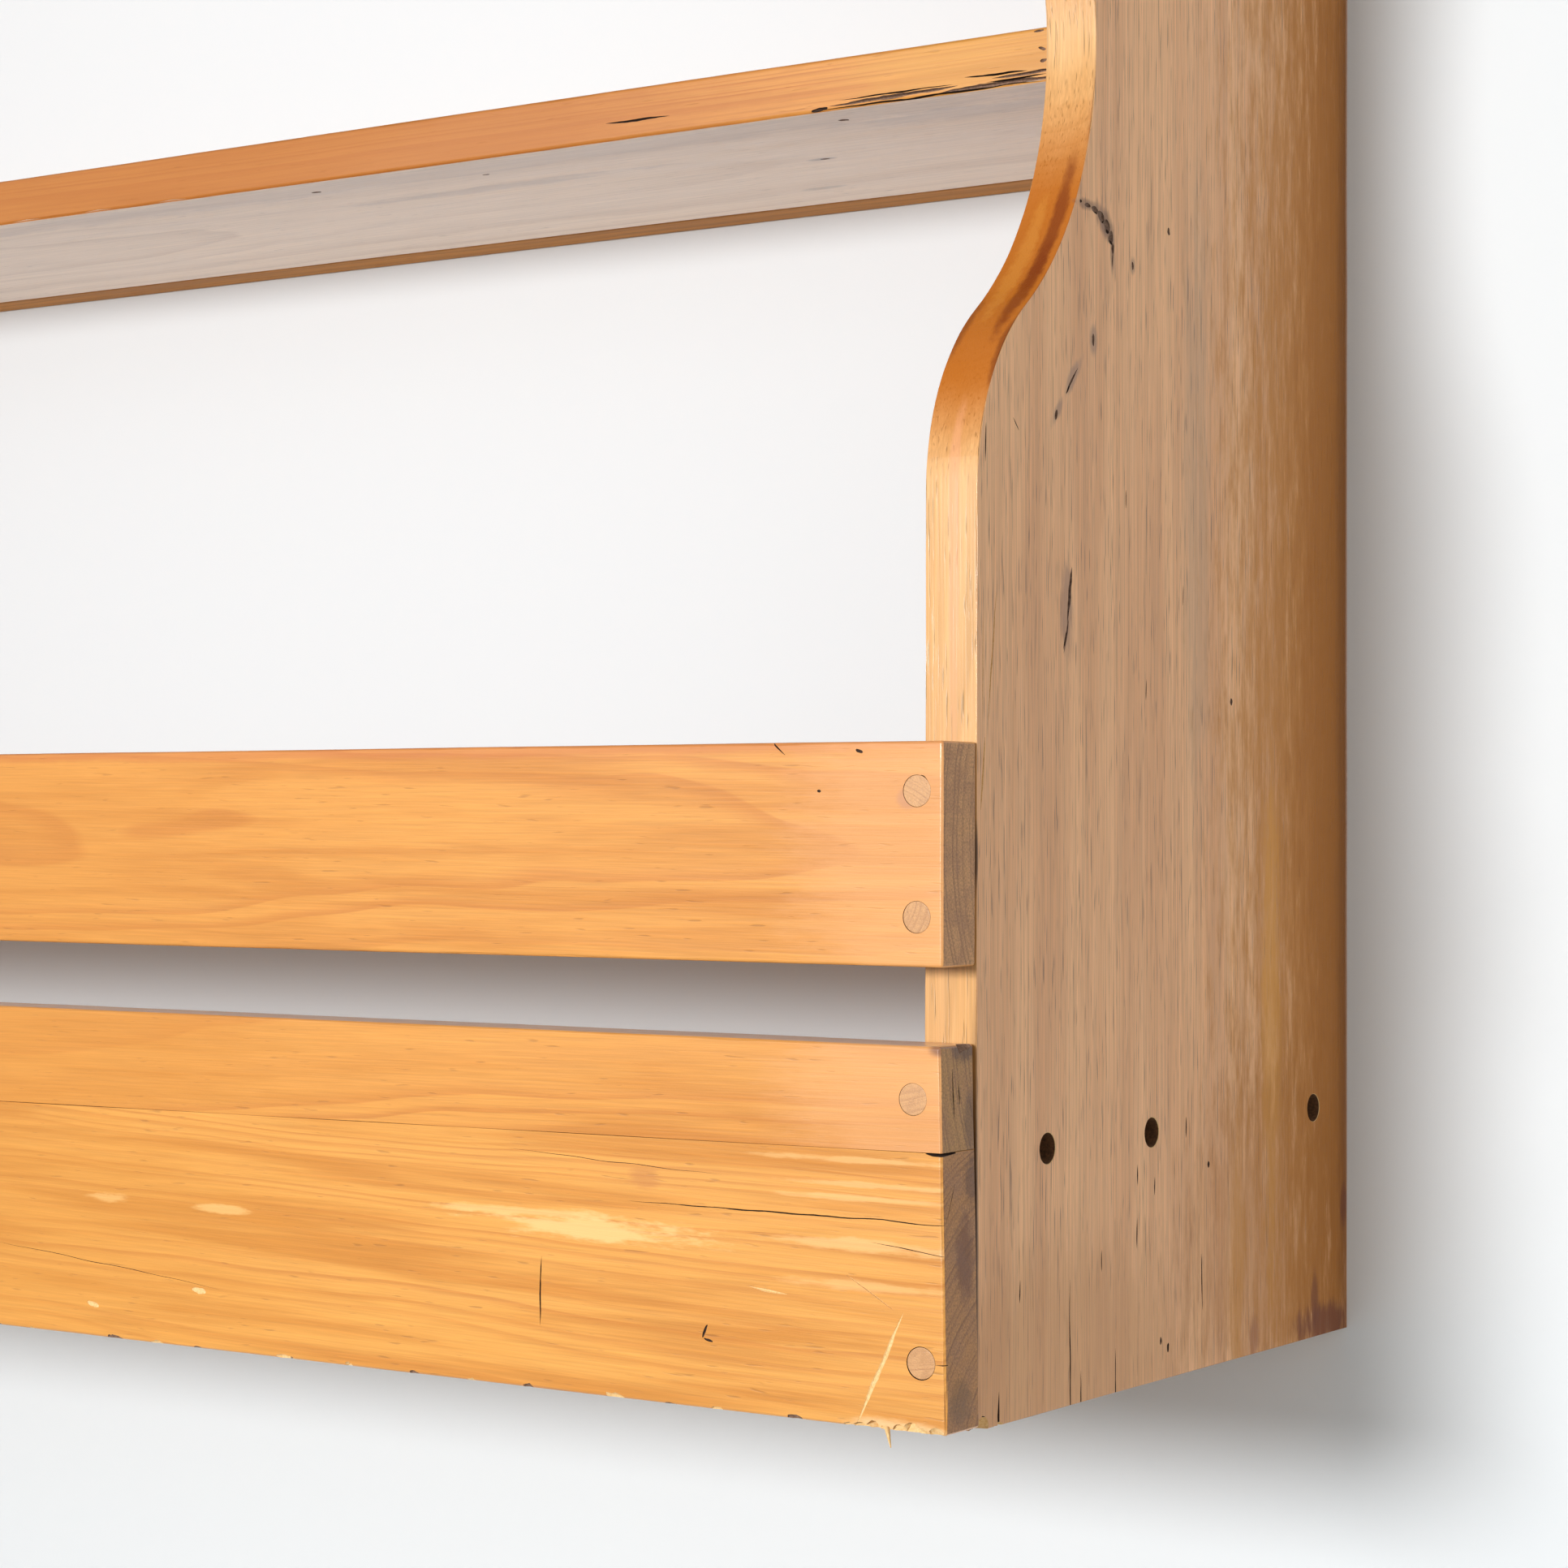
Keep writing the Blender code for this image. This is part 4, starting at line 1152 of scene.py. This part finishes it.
# The long crack runs on over the sawn end, which is out of square.
crack = bmesh.new()
split(crack, (601, -279, -388.4), (601.4, -271, -372), FACES["side"][2], 0.5, 1.2, 0.8, 1)
carve(front_board, cutter(crack, old_dirt))
print("rails", [len(rail.data.polygons) for rail in (upper_rail, strip, front_board)], "faces after their marks")

# %% [markdown]
# ### Marks on the middle shelf
# Rot has eaten the front edge at the right end, in long dark splits with bruised wood between them. A few dents
# show on the underside.

# %% Mark the middle shelf
mark(middle_shelf, bruised, "shelf_edge", [
    (484, -25.9, 535, -25.0, 2.0, 1.6, 0.5), (529, -26.6, 575, -26.0, 2.2, 1.4, 0.6),
    (548, -24.2, 576, -23.8, 1.6, 1.2, 0.4)], [
    (566, -10.7, (4, 1.4, 0.8)), (567.2, -16.7, (3, 1.6, 1.0), (0, 0.3, 0)), (567.6, -20.6, (2.4, 1.8, 1.2))])
mark(middle_shelf, old_dirt, "shelf_edge", [
    (488, -24.3, 533, -24.2, 0.7, 2.4, 0.6), (478, -27.0, 569, -26.9, 0.8, 2.6, 0.4),
    (546, -25.3, 569, -25.1, 0.8, 2.4, 0.4), (537.6, -22.6, 561.7, -23.2, 1.0, 2.0, 0.5),
    (389, -21.0, 417, -21.4, 1.2, 1.4, 0.5)], [
    (480, -26.6, (7, 2.6, 1.3), (0, -0.1, 0))])
mark(middle_shelf, bruised, "shelf_under", dents=[
    (480, -148.7, (4, 2.4, 1.2), (0, 0, 0.3)), (237.8, -147.8, (5, 2.2, 1.2), (0, 0, 0.1)),
    (437, -95, (4, 1.8, 1), (0, 0, 0.2)), (315, -139.8, (3.5, 1.6, 1))])
print("middle shelf", len(middle_shelf.data.polygons), "faces after its marks")

# %% [markdown]
# ### Splinter
# A splinter still hangs from the front board's chipped lower edge: a thin cone, roughened point by point.

# %% Make the splinter
SPLINTER_ROOT, SPLINTER_TIP = (0.5805, -0.2785, -0.4478), (0.5826, -0.2795, -0.4536)
SPLINTER_RADIUS, SPLINTER_POINT, SPLINTER_ROUGH = 0.9 * MM, 0.15 * MM, 0.35 * MM
sliver = bmesh.new()
drill(sliver, SPLINTER_ROOT, SPLINTER_TIP, SPLINTER_RADIUS, SPLINTER_POINT)
bmesh.ops.recalc_face_normals(sliver, faces=sliver.faces)
for v in sliver.verts:
    v.co += noise.noise_vector(v.co * 900) * SPLINTER_ROUGH
splinter = add_piece("front_board_splinter", sliver, [raw_pine], None)
print(splinter.name, len(splinter.data.polygons), "faces")

# %% [markdown]
# ## Pegs
# Round pegs, cut off nearly flush, show their end grain. Each is a cylinder whose front rim is rounded and
# whose front face is set a little proud or sunk, tilted by the saw that cut it off.

# %% Make the pegs
PEG = {**PINE, "grain": "Y", "pith": (0.575, -0.29), "ring": 1.4 * MM, "wobble": 1 * MM, "contrast": 0.7,
       "fibre": (0.5 * MM, 4 * MM), "cloud": (4 * MM, 20 * MM), "pale": "#CC9966", "deep": "#A8754C",
       "amber": "#BA885A", "streak": 0.15, "pores": 0.3}
PEG_ROUND, PEG_SINK, PEG_TILT = 0.2 * MM, 0.1 * MM, 0.05
peg_pine = varnish(old_pine("peg_pine", PEG), roughness=0.45, coat=0.2, bump=0.5)


def peg(node, seed):
    """A peg over its solid, its front face tilted and rounded."""
    low, high, mid = solid_place(node)
    shape = bmesh.new()
    drill(shape, (mid.x, high.y, mid.z), (mid.x, low.y, mid.z), (high.x - low.x) / 2)
    bmesh.ops.recalc_face_normals(shape, faces=shape.faces)
    front = [e for e in sharp_edges(shape) if all(v.co.y < mid.y for v in e.verts)]
    round_edges(shape, front, PEG_ROUND)
    tilt = noise.noise_vector(Vector((seed, 1.7, 0.3))) * PEG_TILT
    for v in shape.verts:
        if v.co.y < mid.y:
            v.co.y += tilt.x * (v.co.x - mid.x) + tilt.y * (v.co.z - mid.z) + PEG_SINK
    return add_piece(node + "_turned", shape, [peg_pine], node)


pegs = [peg(node, 3 + 5 * i) for i, node in enumerate(PEG_NODES)]
print(len(pegs), "pegs")

# %% [markdown]
# ## Screws
# Old slotted wood screws: a spun profile gives head, neck and tip, and a box cuts the slot. They are brown steel.

# %% Make the screws
# Old steel: dark, dull, with rust in patches.
screw_steel, tree = blank_finish("rusty_screw_steel")
rust = speckle(tree, 1.5 * MM, Detail=4.0)
patch = remap(tree, rust, 0.42, 0.6)
tone = blend(tree, patch, "#6E6862", "#5A3420")
dull, shine = remap(tree, patch, to_low=0.42, to_high=0.8), remap(tree, patch, to_low=1.0, to_high=0.1)
shader = put(tree, "BsdfPrincipled", {"Base Color": tone, "Roughness": dull, "Metallic": shine})
put(tree, "OutputMaterial", {"Surface": shader})
SHANK_RADIUS, TIP_LENGTH, HEAD_DEPTH = 2.1 * MM, 8 * MM, 3 * MM
SLOT_HALF_WIDTH, SLOT_DEPTH = 0.55 * MM, 1.1 * MM


def wood_screw(node, inward):
    """A slotted screw over its solid; inward is the way that it was driven."""
    low, high, mid = solid_place(node)
    inward = Vector(inward)
    length = abs((high - low).dot(inward))
    head = min(high - low) / 2
    profile = [(0, 0), (head * 0.7, 0), (head, -0.35 * MM), (head, -0.6 * MM), (SHANK_RADIUS, -HEAD_DEPTH),
               (SHANK_RADIUS, -length + TIP_LENGTH), (0, -length)]
    shape = bmesh.new()
    points = [shape.verts.new((radius, 0, height)) for radius, height in profile]
    for a, b in zip(points, points[1:]):
        shape.edges.new((a, b))
    bmesh.ops.spin(shape, geom=shape.verts[:] + shape.edges[:], cent=(0, 0, 0), axis=(0, 0, 1), angle=2 * math.pi,
                   steps=28, use_merge=True)
    bmesh.ops.remove_doubles(shape, verts=shape.verts, dist=0.005 * MM)
    bmesh.ops.recalc_face_normals(shape, faces=shape.faces)
    turn = (-inward).to_track_quat("Z", "Y").to_matrix().to_4x4()
    place = Matrix.Translation(mid - inward * length / 2) @ turn
    bmesh.ops.transform(shape, matrix=place, verts=shape.verts)
    piece = add_piece(node + "_slotted", shape, [screw_steel], node)
    slot_cut = bmesh.new()
    block(slot_cut, (-OVER, -SLOT_HALF_WIDTH, -SLOT_DEPTH), (OVER, SLOT_HALF_WIDTH, OVER))
    bmesh.ops.transform(slot_cut, matrix=place @ Matrix.Rotation(0.6 + mid.y * 40, 4, "Z"), verts=slot_cut.verts)
    carve(piece, cutter(slot_cut, screw_steel))
    return piece


screws = []
for node in SCREW_NODES:
    way = (-1, 0, 0) if node.endswith("right") else (1, 0, 0) if node.endswith("left") else (0, -1, 0)
    screws.append(wood_screw(node, way))
print(len(screws), "screws")

# %% [markdown]
# ## Bores for the screws in the shelves and the hanging rail
# The bottom shelf and the middle shelf take the screws, and the hanging rail has two holes for the wall.

# %% Bore for the screws
WALL_HOLE_SPACING, WALL_HOLE_RADIUS, WALL_HOLE_HEIGHT, WALL_HOLE_DEPTH = 0.813, 3.5 * MM, 0.0095, 40 * MM
SHORTEST_SCREW = 20 * MM
BORE_RADIUS, HEAD_BORE_RADIUS, HEAD_BORE_DEPTH = 2.4 * MM, 4.6 * MM, 4 * MM
for shelf, start in ((bottom_shelf, "bottom_shelf"), (middle_shelf, "hanging_rail"),
                     (hanging_rail, "hanging_rail")):
    bores = bmesh.new()
    for node in SCREW_NODES:
        if node.startswith(start):
            low, high, mid = solid_place(node)
            along = Vector([OVER if s > SHORTEST_SCREW else 0.0 for s in high - low])
            half, spare = (high - low) * along / OVER / 2, along * 0.1
            drill(bores, mid - half - spare, mid + half + spare, BORE_RADIUS)
            if shelf is hanging_rail:
                drill(bores, (mid.x, -HEAD_BORE_DEPTH, mid.z), (mid.x, OVER, mid.z), HEAD_BORE_RADIUS)
    if shelf is hanging_rail:
        for hand in (-1, 1):
            spot = hand * WALL_HOLE_SPACING / 2
            drill(bores, (spot, -WALL_HOLE_DEPTH, WALL_HOLE_HEIGHT), (spot, OVER, WALL_HOLE_HEIGHT),
                  WALL_HOLE_RADIUS)
    carve(shelf, cutter(bores, bored))

# %% [markdown]
# ## Shading
# The boards are shaded smoothly with their flat faces leading, and the edges of every cut stay sharp.

# %% Shade the pieces
for piece in (upper_rail, strip, front_board, middle_shelf, bottom_shelf, top_shelf, hanging_rail, right_side,
              left_side, splinter, *pegs, *screws):
    smooth(piece)
